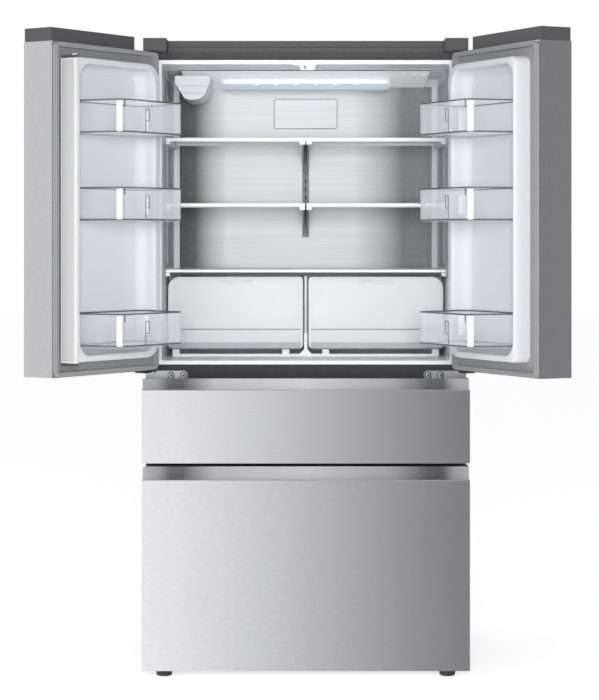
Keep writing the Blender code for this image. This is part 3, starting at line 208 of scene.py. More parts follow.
def makeFinish(name, look):
    material = bpy.data.materials.new(name)
    material.use_nodes = True
    tree = material.node_tree
    shader = tree.nodes["Principled BSDF"]
    grain = useGroup(tree, grainGroup, {
        "Colour": (*look["colour"], 1),
        "Tint": (*look["tint"], 1),
        "Stretch": look.get("stretch", (1, 1, 1)),
        "Scale": look["scale"],
        "Strength": look.get("strength", 0.5),
        "Roughness": look["roughness"],
        "Spread": look.get("spread", 0.1),
    })
    colour = grain.outputs["Colour"]
    if "across" in look:  # painted reflection: bright and dark bands over the piece's width, standing in for what the metal reflects
        place = tree.nodes.new("ShaderNodeTexCoord")
        split = tree.nodes.new("ShaderNodeSeparateXYZ")
        tree.links.new(place.outputs["Object"], split.inputs[0])
        low, high = look["acrossFrom"]
        span = mathNode(tree, "MULTIPLY", mathNode(tree, "SUBTRACT", split.outputs["X"], low),
                        1 / (high - low))
        colour = mixNode(tree, 1.0, colour, rampNode(tree, span, look["across"]), "MULTIPLY")
    colour = useGroup(tree, wearGroup, {
        "Colour": colour,
        "Worn": (*look.get("worn", look["colour"]), 1),
        "Amount": look.get("wear", 0.3),
    }).outputs["Colour"]
    colour = useGroup(tree, dustGroup, {"Colour": colour, "Amount": look.get("dust", 0.1)}).outputs["Colour"]
    tree.links.new(colour, shader.inputs["Base Color"])
    tree.links.new(grain.outputs["Roughness"], shader.inputs["Roughness"])
    bump = tree.nodes.new("ShaderNodeBump")
    bump.inputs["Strength"].default_value = look.get("bump", 0.1)
    bump.inputs["Distance"].default_value = bumpDepth
    tree.links.new(grain.outputs["Height"], bump.inputs["Height"])
    tree.links.new(bump.outputs["Normal"], shader.inputs["Normal"])
    for socket, value in look.get("shader", {}).items():
        shader.inputs[socket].default_value = value
    if "clear" in look:  # clear pieces let more through face on than edge on
        faceOn, edgeOn = look["clear"]
        facing = tree.nodes.new("ShaderNodeLayerWeight")
        facing.inputs["Blend"].default_value = 0.5
        alpha = mathNode(tree, "ADD", mathNode(tree, "MULTIPLY", facing.outputs["Facing"],
            edgeOn - faceOn), faceOn)
        tree.links.new(alpha, shader.inputs["Alpha"])
    return material


finishes = {
    "brushedSteel": {
        "colour": (0.66, 0.66, 0.68), "tint": (0.52, 0.52, 0.55), "stretch": (0.05, 0.05, 3.0),
        "scale": 260.0, "strength": 0.45, "roughness": 0.2, "spread": 0.08, "bump": 0.05,
        "worn": (0.82, 0.82, 0.84), "wear": 0.4, "shader": {"Metallic": 1.0},
    },
    "greyPaint": {
        "colour": (0.026, 0.025, 0.028), "tint": (0.018, 0.017, 0.019), "scale": 900.0, "roughness": 0.46,
        "bump": 0.12, "worn": (0.18, 0.18, 0.19), "wear": 0.4, "dust": 0.1,
    },
    "linerWhite": {
        "colour": (0.83, 0.84, 0.86), "tint": (0.74, 0.75, 0.79), "scale": 60.0, "strength": 0.35,
        "roughness": 0.34, "spread": 0.12, "bump": 0.03, "worn": (0.95, 0.95, 0.96), "wear": 0.5,
    },
    "doorWhite": {
        "colour": (0.66, 0.67, 0.7), "tint": (0.6, 0.61, 0.65), "scale": 60.0, "strength": 0.35,
        "roughness": 0.34, "spread": 0.12, "bump": 0.03, "worn": (0.8, 0.8, 0.82), "wear": 0.5,
    },
    "flapPlastic": {
        "colour": (0.5, 0.5, 0.495), "tint": (0.43, 0.43, 0.43), "scale": 700.0, "roughness": 0.42,
        "bump": 0.1, "worn": (0.68, 0.68, 0.67),
    },
    "darkPlastic": {
        "colour": (0.036, 0.036, 0.039), "tint": (0.056, 0.056, 0.06), "scale": 800.0, "roughness": 0.48,
        "bump": 0.22, "worn": (0.17, 0.17, 0.18), "wear": 0.6, "dust": 0.3,
    },
    "gasketRubber": {
        "colour": (0.3, 0.3, 0.32), "tint": (0.22, 0.22, 0.24), "scale": 400.0, "roughness": 0.62,
        "bump": 0.16, "worn": (0.42, 0.42, 0.44),
    },
    "clearPlastic": {
        "colour": (0.8, 0.83, 0.87), "tint": (0.7, 0.74, 0.8), "scale": 40.0, "strength": 0.4,
        "roughness": 0.12, "spread": 0.08, "bump": 0.02, "clear": (0.05, 0.55), "dust": 0.05,
    },
    "shelfGlass": {
        "colour": (0.7, 0.78, 0.78), "tint": (0.6, 0.7, 0.7), "scale": 30.0, "roughness": 0.06,
        "spread": 0.04, "bump": 0.01, "clear": (0.1, 0.75), "dust": 0.05,
    },
    "lensPlastic": {
        "colour": (0.8, 0.86, 0.92), "tint": (0.7, 0.78, 0.88), "scale": 90.0, "roughness": 0.3, "bump": 0.03,
        "shader": {"Emission Color": (0.85, 0.92, 1.0, 1), "Emission Strength": 0.06},
    },
    "zincPlate": {
        "colour": (0.68, 0.69, 0.71), "tint": (0.5, 0.51, 0.54), "scale": 240.0, "roughness": 0.32,
        "spread": 0.2, "bump": 0.06, "worn": (0.85, 0.85, 0.86), "shader": {"Metallic": 1.0},
    },
    "blackPlastic": {
        "colour": (0.018, 0.018, 0.02), "tint": (0.035, 0.035, 0.037), "scale": 700.0, "roughness": 0.5,
        "bump": 0.2, "worn": (0.1, 0.1, 0.1), "wear": 0.5, "dust": 0.3,
    },
    "blackEnamel": {
        "colour": (0.012, 0.012, 0.014), "tint": (0.028, 0.028, 0.03), "scale": 180.0, "roughness": 0.22,
        "bump": 0.04, "worn": (0.2, 0.2, 0.2), "wear": 0.4, "dust": 0.35,
    },
    "aluminium": {
        "colour": (0.74, 0.75, 0.76), "tint": (0.58, 0.59, 0.61), "stretch": (1, 1, 0.1), "scale": 300.0,
        "roughness": 0.34, "bump": 0.08, "shader": {"Metallic": 1.0}, "dust": 0.3,
    },
    "panelSteel": {
        "colour": (0.98, 0.98, 0.99), "tint": (0.6, 0.6, 0.63), "stretch": (0.012, 1, 1.6), "scale": 130.0,
        "strength": 0.62, "roughness": 0.36, "spread": 0.2, "bump": 0.08, "wear": 0.1,
        # across: painted reflection, bright in the middle of the back panel and dark towards both sides
        "across": [(0.0, 0.08), (0.06, 0.11), (0.12, 0.62), (0.19, 1.0), (0.69, 0.93), (0.8, 0.6),
                   (0.885, 0.22), (1.0, 0.28)],
        "acrossFrom": (-0.364, 0.412), "shader": {"Metallic": 0.1},
    },
    "litWhite": {
        "colour": (0.84, 0.85, 0.87), "tint": (0.74, 0.75, 0.78), "stretch": (1, 0.3, 1), "scale": 40.0,
        "strength": 0.5, "roughness": 0.3, "bump": 0.03, "worn": (0.95, 0.95, 0.96),
        # the glow is the lamp's own light on the lens, and painted light on the ceiling duct, which is no
        # lamp
        "shader": {"Emission Color": (0.95, 0.97, 1.0, 1), "Emission Strength": 0.22},
    },
    "trimWhite": {
        "colour": (0.9, 0.9, 0.91), "tint": (0.84, 0.84, 0.86), "scale": 500.0, "strength": 0.3,
        "roughness": 0.3, "bump": 0.04, "worn": (0.97, 0.97, 0.97),
    },
    "sideGrey": {
        "colour": (0.34, 0.36, 0.4), "tint": (0.22, 0.24, 0.28), "stretch": (1, 4, 0.1), "scale": 60.0,
        "roughness": 0.3, "spread": 0.12, "bump": 0.04, "worn": (0.6, 0.62, 0.66),
    },
    "perimeterGrey": {
        "colour": (0.27, 0.27, 0.285), "tint": (0.22, 0.22, 0.235), "stretch": (0.1, 0.1, 2), "scale": 300.0,
        "roughness": 0.36, "bump": 0.06, "worn": (0.45, 0.45, 0.46),
    },
    "scoopSteel": {
        "colour": (0.66, 0.66, 0.68), "tint": (0.42, 0.42, 0.45), "stretch": (0.03, 1.0, 3.0), "scale": 200.0,
        "strength": 0.6, "roughness": 0.3, "spread": 0.15, "bump": 0.05, "worn": (0.82, 0.82, 0.84),
        # across: painted reflection, dark bands near both ends of the pull recess and bright between them
        "across": [(0.0, 0.7), (0.045, 0.5), (0.085, 0.02), (0.125, 0.04), (0.22, 0.8), (0.5, 1.0),
                   (0.76, 0.62), (0.875, 0.04), (0.92, 0.02), (0.955, 0.6), (1.0, 0.8)],
        "acrossFrom": (-0.43, 0.478), "shader": {"Metallic": 0.45},
    },
    # dark, nearly opaque edges on the clear pieces: painted shade standing in for the darkening that light
    # bent inside clear plastic gives its edges
    "paintedEdgeShade": {
        "colour": (0.07, 0.072, 0.08), "tint": (0.13, 0.135, 0.15), "scale": 60.0, "roughness": 0.16,
        "spread": 0.08, "bump": 0.02, "clear": (0.62, 0.95),
    },
    "milkyPlastic": {
        "colour": (0.93, 0.94, 0.96), "tint": (0.84, 0.86, 0.89), "scale": 30.0, "strength": 0.5,
        "roughness": 0.22, "spread": 0.08, "bump": 0.03, "clear": (0.66, 0.94),
    },
    "smokyPlastic": {
        "colour": (0.48, 0.5, 0.54), "tint": (0.38, 0.4, 0.45), "scale": 40.0, "roughness": 0.14,
        "spread": 0.08, "bump": 0.02, "clear": (0.35, 0.9),
    },
    "bracketGrey": {
        "colour": (0.22, 0.22, 0.23), "tint": (0.3, 0.3, 0.32), "scale": 500.0, "roughness": 0.38,
        "bump": 0.1, "worn": (0.4, 0.4, 0.42), "wear": 0.6,
    },
}
finish = {name: makeFinish(name, look) for name, look in finishes.items()}
print("finishes made:", len(finish))


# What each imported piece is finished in, and how round its edges are


def onBoth(*kinds):  # the left and the right piece of each kind
    return [f"{side}_{kind}" for kind in kinds for side in doorSides]


nodeFinish = {
    "brushedSteel": [*onBoth("door_skin"), "drawer_front", "freezer_front"],
    "greyPaint": ["outer_case", "base_frame", "rear_panel"],
    "linerWhite": [
        "fridge_liner", "drawer_liner", "freezer_liner", *onBoth("door_liner"), "drawer_box",
        "freezer_basket", "crisper_base", "evaporator_fan",
    ],
    "trimWhite": ["crisper_cover"],
    "doorWhite": ["water_filter_housing"],
    "flapPlastic": ["mullion_flap"],
    "darkPlastic": ["top_cover", *onBoth("hinge_cover", "door_cap")],
    "gasketRubber": [*onBoth("door_gasket"), "drawer_gasket", "freezer_gasket"],
    "clearPlastic": [*onBoth("upper_bin", "middle_bin", "lower_bin", "crisper"), "freezer_tray"],
    "shelfGlass": ["upper_left_shelf", "upper_right_shelf", "lower_left_shelf", "lower_right_shelf"],
    "lensPlastic": ["ceiling_light_lens"],
    "zincPlate": [*onBoth("upper_hinge", "lower_hinge"), "machine_cover"],
    "blackPlastic": [*onBoth("front_foot", "rear_roller"), "condenser_fan"],
    "blackEnamel": ["compressor", "condenser"],
    "aluminium": ["evaporator"],
    "panelSteel": ["back_duct_panel", "air_filter_cover"],
    "bracketGrey": ["shelf_ladder", "upper_shelf_bracket", "lower_shelf_bracket"],
}
edgeRadius = {"default": 0.0008, "fridge_liner": 0.006, "top_cover": 0.003, "left_hinge_cover": 0.003,
              "right_hinge_cover": 0.003, "left_door_cap": 0.002, "right_door_cap": 0.002,
              "drawer_box": 0.003, "freezer_basket": 0.003, "left_door_skin": 0.0015,
              "right_door_skin": 0.0015}


def softenEdges(obj, width):
    bevel = obj.modifiers.new("soft edges", "BEVEL")
    bevel.width = width
    bevel.segments = 2
    bevel.limit_method = "ANGLE"
    bevel.angle_limit = math.radians(40)
    bevel.harden_normals = True


for finishName, names in nodeFinish.items():
    for name in names:
        data = nodes[name].data
        data.materials.clear()
        data.materials.append(finish[finishName])
        softenEdges(nodes[name], edgeRadius.get(name, edgeRadius["default"]))
print("packed pieces finished:", sum(len(names) for names in nodeFinish.values()))

# Mesh tools for the detailed pieces


def roundedShape(corners, radii, steps=5):
    points = []
    count = len(corners)
    for i in range(count):
        here, before, after = Vector(corners[i]), Vector(corners[i - 1]), Vector(corners[(i + 1) % count])
        radius = radii[i] if isinstance(radii, (list, tuple)) else radii
        back, ahead = (before - here).normalized(), (after - here).normalized()
        half = back.angle(ahead) / 2
        reach = radius / math.tan(half)
        start, stop = here + back * reach, here + ahead * reach
        centre = here + (back + ahead).normalized() * (radius / math.sin(half))
        for step in range(steps + 1):
            share = step / steps
            if radius < 0.00005:
                points.append(here.copy())
                continue
            ray = (start - centre).lerp(stop - centre, share)
            points.append(centre + ray.normalized() * radius)
    return points


def rectShape(low, high, radii, steps=5):
    corners = [(low[0], low[1]), (high[0], low[1]), (high[0], high[1]), (low[0], high[1])]
    return roundedShape(corners, radii, steps)


def grown(low, high, by):
    return (low[0] - by, low[1] - by), (high[0] + by, high[1] + by)


def toAxis(point, height, axis):
    if axis == "X":
        return Vector((height, point[0], point[1]))
    if axis == "Y":
        return Vector((point[0], height, point[1]))
    return Vector((point[0], point[1], height))


def loft(bm, rings, axis, mat=0, closed=False, capStart=True, capEnd=True):
    rows = [[bm.verts.new(toAxis(p, height, axis)) for p in outline] for outline, height in rings]
    if closed:
        rows.append(rows[0])
    made = []
    for first, second in zip(rows, rows[1:]):
        for i in range(len(first)):
            j = (i + 1) % len(first)
            made.append(bm.faces.new((first[i], first[j], second[j], second[i])))
    if capStart and not closed:
        made.append(bm.faces.new(rows[0][::-1]))
    if capEnd and not closed:
        made.append(bm.faces.new(rows[-1]))
    for face in made:
        face.material_index = mat
    return made


def roundBlock(bm, low, high, edge=0.001, mat=0, segments=2):
    made = bmesh.ops.create_cube(bm, size=1.0)["verts"]
    for v in made:
        v.co = Vector([(low[i] + high[i]) / 2 + v.co[i] * (high[i] - low[i]) for i in range(3)])
    edges = list(dict.fromkeys(e for v in made for e in v.link_edges))  # in a fixed order
    for face in {f for v in made for f in v.link_faces}:
        face.material_index = mat
    edge = min(edge, 0.45 * min(abs(high[i] - low[i]) for i in range(3)))
    bmesh.ops.bevel(bm, geom=edges, offset=edge, segments=segments, profile=0.5, affect="EDGES", material=-1)


def turned(bm, centre, profile, axis="Z", mat=0, count=24):
    rings = []
    for radius, height in profile:
        around = [2 * math.pi * i / count for i in range(count)]
        rings.append(([(radius * math.cos(a), radius * math.sin(a)) for a in around], height))
    for v in {v for face in loft(bm, rings, axis, mat) for v in face.verts}:
        v.co += Vector(centre)


def newPiece(name, bm, materials, body, place=cabinetPlace, side=1, replaced=(), bevel=0.0):
    bm.transform(place @ Matrix.Diagonal((side, 1, 1, 1)))
    bmesh.ops.recalc_face_normals(bm, faces=bm.faces)
    mesh = bpy.data.meshes.new(name)
    bm.to_mesh(mesh)
    bm.free()
    for material in materials:
        mesh.materials.append(finish[material])
    mesh.shade_smooth()
    mesh.set_sharp_from_angle(angle=math.radians(38))
    obj = bpy.data.objects.new(name, mesh)
    scene.collection.objects.link(obj)
    if bevel:
        softenEdges(obj, bevel)
    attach(obj, body)
    if replaced:
        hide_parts(*replaced)
    return obj


# Doors: moulded inner liners, gaskets, caps' fittings and stops

doorLiner = {
    "nearEdge": 0.0485, "hingeEdge": 0.402, "endMargin": 0.037, "flangeBase": 0.0905, "flangeCorner": 0.02,
    "crease": 0.42, "creaseWidth": 0.014, "creaseEnd": 0.05, "flange": 0.0987, "crest": 0.1465,
    "dishFace": 0.0925, "freeWall": 0.0115, "hingeWall": 0.028, "endWall": 0.0195, "freeCorner": 0.022,
    "hingeCorner": 0.053, "dishCorner": 0.04, "cove": 0.034, "coveSteps": 8, "margin": 0.0125,
}


def makeDoorLiner(name, side, place):
    look = doorLiner
    low, high = boxOf(f"{name}_door_liner", place)
    skinLow, skinHigh = boxOf(f"{name}_door_skin", place)
    reach = sorted((side * skinLow.x, side * skinHigh.x))
    bm = bmesh.new()
    inset = look["margin"]
    outer = ((look["nearEdge"], low.z + look["endMargin"]), (look["hingeEdge"], high.z - look["endMargin"]))
    around = rectShape((reach[0] + inset, skinLow.z + inset),
        (reach[1] - inset, skinHigh.z - inset), 0.004, 7)
    within = rectShape(*grown(*outer, -0.004), look["flangeCorner"], 7)
    base, top = look["flangeBase"], look["flange"]
    loft(bm, [(around, base), (around, top), (within, top), (within, base)], "Y", mat=1, closed=True)
    dish = ((outer[0][0] + look["freeWall"], outer[0][1] + look["endWall"]),
            (outer[1][0] - look["hingeWall"], outer[1][1] - look["endWall"]))
    outerCorners = [look["freeCorner"], look["hingeCorner"], look["hingeCorner"], look["freeCorner"]]
    crest, face = look["crest"], look["dishFace"]
    rings = []
    outside = ((0, 0.095), (0.0008, 0.13), (0.0016, crest - 0.006), (0.0034, crest - 0.002), (0.0062, crest))
    for inward, depth in outside:
        rings.append((rectShape(*grown(*outer, -inward), [r - inward for r in outerCorners], 7), depth))
    for outward, depth in ((0.0035, crest), (0.0012, crest - 0.0022), (0.0, crest - 0.006)):
        rings.append((rectShape(*grown(*dish, outward), look["dishCorner"] + outward, 7), depth))
    for step in range(look["coveSteps"] + 1):  # the dish runs into its back in one wide cove
        turn = math.pi / 2 * step / look["coveSteps"]
        inward, depth = look["cove"] * (1 - math.cos(turn)), face + look["cove"] * (1 - math.sin(turn))
        rings.append((rectShape(*grown(*dish, -inward), look["dishCorner"] - inward, 7), depth))
    loft(bm, rings, "Y")
    # faint upright fold in the dish's back
    crease = outer[0][0] + look["crease"] * (outer[1][0] - outer[0][0])
    end = look["creaseEnd"]
    roundBlock(bm, (crease, face - 0.001, dish[0][1] + end),
               (crease + look["creaseWidth"], face + 0.0008, dish[1][1] - end), 0.0007)
    newPiece(f"{name}_door_inner", bm, ["doorWhite", "perimeterGrey"], f"{name}_door", place,
             side, [f"{name}_door_liner"])


gasket = {"width": 0.0134, "corner": 0.0025}
gasketProfile = [(0, 0.0991), (0, 0.102), (0.0016, 0.1042), (0.0018, 0.1072), (0.0006, 0.1094),
                 (0.0012, 0.1109), (0.0036, 0.1115), (0.0066, 0.1109), (0.0098, 0.1115), (0.0122, 0.1109),
                 (0.0129, 0.1094), (0.0117, 0.1072), (0.0119, 0.1042), (0.0134, 0.102), (0.0134, 0.0991)]


def makeGasket(node, body, place):
    low, high = boxOf(node, place)
    bm = bmesh.new()
    corners = ((low.x, low.z), (high.x, high.z))
    rings = []
    for inward, depth in gasketProfile:
        radius = gasket["corner"] + gasket["width"] - inward
        rings.append((rectShape(*grown(*corners, -inward), radius, 3), depth))
    loft(bm, rings, "Y", closed=True)
    newPiece(node.replace("gasket", "seal"), bm, ["gasketRubber"], body, place, 1, [node])


doorFitting = {"plugs": (0.22, 0.8), "plugDepth": 0.052, "earReach": 0.016, "stopDrop": 0.0075,
               "heelDrop": 0.0055}


def makeDoorFittings(name, side, place):
    look = doorFitting
    capLow, capHigh = boxOf(f"{name}_door_cap", place)
    start, stop = sorted((side * capLow.x, side * capHigh.x))
    top = capHigh.z
    bm = bmesh.new()
    for along in look["plugs"]:  # round plugs over the fixing screws
        centre = (start + along * (stop - start), look["plugDepth"], top)
        turned(bm, centre, [(0.0085, -0.001), (0.0085, 0.0006), (0.0075, 0.0012), (0.0035, 0.0012),
            (0.0028, 0.0004)])
    roundBlock(bm, (stop - 0.001, 0.028, top - 0.03), (stop + look["earReach"], 0.064, top - 0.004), 0.003)
    roundBlock(bm, (start + 0.004, 0.002, top - 0.014), (stop - 0.004, 0.0045, top - 0.01), 0.0006)
    newPiece(f"{name}_cap_fittings", bm, ["blackPlastic"], f"{name}_door", place, side)
    skinLow, skinHigh = boxOf(f"{name}_door_skin", place)
    edge, under = max(abs(skinLow.x), abs(skinHigh.x)), skinLow.z - 0.0004
    bm = bmesh.new()
    roundBlock(bm, (edge - 0.06, 0.06, skinLow.z - look["stopDrop"]), (edge - 0.026, 0.094, under), 0.002)
    roundBlock(bm, (edge - 0.028, 0.066, skinLow.z - look["heelDrop"]), (edge - 0.006, 0.088, under), 0.0015)
    newPiece(f"{name}_door_stop", bm, ["blackPlastic"], f"{name}_door", place, side)


# Door bins: a clear rounded tray, a white corner strip, a grip tab and thick moulded edges

doorBin = {
    "near": 0.0612, "far": 0.3728, "back": 0.0937, "shoulder": 0.1465, "front": 0.2731, "nearFront": 0.084,
    "farFront": 0.334, "wall": 0.0025, "rim": 0.004, "corner": 0.012, "tab": 0.176,
    "tabWidth": 0.0166, "tabLine": 0.0016, "tabLow": 0.034, "tabTop": 0.022, "strip": 0.0775,
    "stripWidth": 0.007,
}


def binOutline(look, inward, corner):
    corners = [
        (look["near"] + inward, look["back"] + inward), (look["far"] - inward, look["back"] + inward),
        (look["far"] - inward, look["shoulder"]), (look["farFront"] - inward * 0.8, look["front"] - inward),
        (look["nearFront"] + inward * 0.8, look["front"] - inward), (look["near"] + inward, look["shoulder"]),
    ]
    radii = [0.036 - inward, 0.036 - inward, 0.05, corner, corner, 0.05]
    return roundedShape(corners, radii, 5)


def makeBin(name, side, place, level):
    look = doorBin
    node = f"{name}_{level}_bin"
    low, high = boxOf(node, place)
    wall, corner, rim = look["wall"], look["corner"], look["rim"]
    bm = bmesh.new()
    rings = [(binOutline(look, inward, corner - less), height) for inward, less, height in (
        (0.004, 0, low.z), (0.0012, 0, low.z + 0.0015), (0.0003, 0, low.z + 0.006), (0.0003, 0, high.z - rim),
        (wall, 0.002, high.z - rim), (wall, 0.002, low.z + 0.006), (wall + 0.004, 0.003, low.z + wall),
    )]
    loft(bm, rings, "Z")
    lip = [(binOutline(look, inward, corner - less), high.z - drop) for inward, less, drop in (
        (0.0, 0, rim - 0.0002), (0.0, 0, 0.0012), (0.0012, 0, 0.0001), (wall + 0.0008, 0.002, 0.0001),
        (wall + 0.0016, 0.002, 0.0012), (wall + 0.0016, 0.002, rim - 0.0002),
    )]
    loft(bm, lip, "Z", mat=1, closed=True)
    foot = [(binOutline(look, inward, corner), low.z + rise) for inward, rise in (
        (-0.0002, 0.0022), (-0.0002, 0.0058), (0.0028, 0.0058), (0.0028, 0.0022),
    )]
    loft(bm, foot, "Z", mat=1, closed=True)
    front, strip = look["front"], look["strip"]
    stripEnd = strip + look["stripWidth"]
    roundBlock(bm, (strip, front - 0.02, low.z + 0.004),
               (stripEnd, front - 0.003, high.z - 0.006), 0.002, mat=2)
    near, proud = front - 0.001, front + 0.0006
    roundBlock(bm, (0.0875, front - 0.0012, high.z - 0.022), (0.0905, proud, high.z - 0.001), 0.0006, mat=4)
    tab, line, top = look["tab"], look["tabLine"], high.z - look["tabTop"]
    tabEnd = tab + look["tabWidth"]
    roundBlock(bm, (tab, near, low.z + 0.004), (tab + line, proud, top), 0.0005, mat=3)
    roundBlock(bm, (tabEnd - line, near, low.z + look["tabLow"]), (tabEnd, proud, top), 0.0005, mat=3)
    for z in (low.z + look["tabLow"], top - line):
        roundBlock(bm, (tab, near, z), (tabEnd, proud, z + line), 0.0005, mat=3)
    for x in (look["near"] - 0.0004, look["far"] - 0.004):  # hooks that hang on the liner's lugs
        roundBlock(bm, (x, 0.104, low.z + 0.02), (x + 0.0044, 0.128, low.z + 0.074), 0.0015, mat=2)
    # the dark rims, feet and tab lines are painted shade for the clear plastic's edges
    newPiece(f"{node}_tray", bm, ["clearPlastic", "paintedEdgeShade", "trimWhite", "paintedEdgeShade", "blackPlastic"],
             node, place, side, [node])


flap = {"endCap": 0.007, "round": 0.003, "plateInset": 0.006, "plateProud": 0.0006, "latch": 0.0035}


def makeFlap():
    place = doorSides["left"]["place"]
    low, high = boxOf("mullion_flap", place)
    cap, inset, proud = flap["endCap"], flap["plateInset"], flap["plateProud"]
    bottom, top = low.z + cap, high.z - cap
    bm = bmesh.new()
    roundBlock(bm, (low.x, low.y, bottom), (high.x, high.y, top), flap["round"], segments=3)
    # grey plates let in
    for start, stop in ((low.x - proud, low.x + 0.002), (high.x - 0.002, high.x + proud)):
        roundBlock(bm, (start, low.y + inset, bottom + 0.004), (stop, high.y - inset, top - 0.004),
                   0.0008, mat=1)
    for start, stop in ((low.z, bottom - 0.0004), (top + 0.0004, high.z)):
        roundBlock(bm, (low.x + 0.0008, low.y + 0.0008, start), (high.x - 0.0008, high.y - 0.0008, stop),
                   flap["round"], mat=2, segments=3)
    # what the ceiling clip guides
    roundBlock(bm, (low.x + 0.003, high.y - 0.016, high.z - 0.0006),
               (high.x - 0.003, high.y - 0.004, high.z + flap["latch"]), 0.0015)
    newPiece("mullion_flap_body", bm, ["doorWhite", "flapPlastic", "darkPlastic"], "mullion",
             place, 1, ["mullion_flap"])


for doorName, door in doorSides.items():
    makeDoorLiner(doorName, door["side"], door["place"])
    makeGasket(f"{doorName}_door_gasket", f"{doorName}_door", door["place"])
    makeDoorFittings(doorName, door["side"], door["place"])
    for binLevel in ("lower", "middle", "upper"):
        makeBin(doorName, door["side"], door["place"], binLevel)
makeGasket("drawer_gasket", "drawer", cabinetPlace)
makeGasket("freezer_gasket", "freezer_drawer", cabinetPlace)
makeFlap()
print("doors detailed")


# Shelves: a glass sheet in a white front trim, side rails and a rear rail

shelf = {
    "trimDepth": 0.014, "trimHeight": 0.0115, "railWidth": 0.009, "railHeight": 0.0085, "tab": 0.016,
    "glassUnder": 0.0045, "round": 0.0015,
}


def addGlass(bm, low, high):
    roundBlock(bm, (low.x + 0.004, low.y + 0.006, high.z - shelf["glassUnder"]),
               (high.x - 0.004, high.y - 0.004, high.z - 0.0008), 0.0005)


def makeShelf(node, side):
    low, high = boxOf(node)
    top, trimBack, trimLow = high.z - 0.0002, low.y + shelf["trimDepth"], high.z - shelf["trimHeight"]
    railLow, wide = high.z - shelf["railHeight"], shelf["railWidth"]
    bm = bmesh.new()
    addGlass(bm, low, high)
    corners = [(low.y, trimLow), (trimBack, trimLow), (trimBack, top), (low.y, top)]
    front = roundedShape(corners, [0.004, 0.001, 0.001, 0.003])
    loft(bm, [(front, low.x + 0.0004), (front, high.x - 0.0004)], "X", mat=1)
    for x in (low.x, high.x - wide):
        roundBlock(bm, (x, low.y + 0.012, railLow), (x + wide, high.y, top), shelf["round"], mat=1)
    roundBlock(bm, (low.x, high.y - 0.012, railLow), (high.x, high.y, high.z + 0.004), shelf["round"], mat=1)
    middle = low.x if side > 0 else high.x
    tab = sorted((middle, middle + side * shelf["tab"]))
    roundBlock(bm, (tab[0], low.y + 0.002, high.z - 0.02),
               (tab[1], low.y + 0.016, high.z - 0.01), 0.002, mat=1)
    newPiece(f"{node}_glass", bm, ["shelfGlass", "trimWhite"], "cabinet", replaced=[node])


for shelfLevel in ("upper", "lower"):
    for shelfSide, shelfSign in (("left", -1), ("right", 1)):
        makeShelf(f"{shelfLevel}_{shelfSide}_shelf", shelfSign)


crisperCover = {"trimDepth": 0.016, "railWidth": 0.01, "shadowGap": 0.008}


def makeCrisperCover():
    low, high = boxOf("crisper_cover")
    trimBack, trimLow, wide = low.y + crisperCover["trimDepth"], low.z + 0.0004, crisperCover["railWidth"]
    bm = bmesh.new()
    addGlass(bm, low, high)
    corners = [(low.y, trimLow), (trimBack, trimLow), (trimBack, high.z), (low.y, high.z)]
    front = roundedShape(corners, [0.003, 0.001, 0.001, 0.003])
    loft(bm, [(front, low.x), (front, high.x)], "X", mat=1)
    roundBlock(bm, (low.x + 0.001, low.y + 0.003, low.z - crisperCover["shadowGap"]),
               (high.x - 0.001, low.y + 0.011, low.z + 0.0002), 0.0012, mat=2)
    for x in (low.x, high.x - wide):
        roundBlock(bm, (x, low.y + 0.012, low.z), (x + wide, high.y, high.z), 0.002, mat=1)
    roundBlock(bm, (low.x, high.y - 0.012, low.z), high, 0.002, mat=1)
    newPiece("crisper_cover_frame", bm, ["shelfGlass", "trimWhite", "darkPlastic"], "cabinet",
             replaced=["crisper_cover"])


# Crispers: a clear drawer behind a milky front with a pull lip and a moulded ridge

crisper = {
    "wall": 0.003, "frontThick": 0.004, "outerCorner": 0.034, "innerCorner": 0.01, "bottomCorner": 0.014,
    "ridge": 0.057, "lipHalf": 0.05, "shownWalls": (0.01, 0.016, -0.03, -0.018),
}


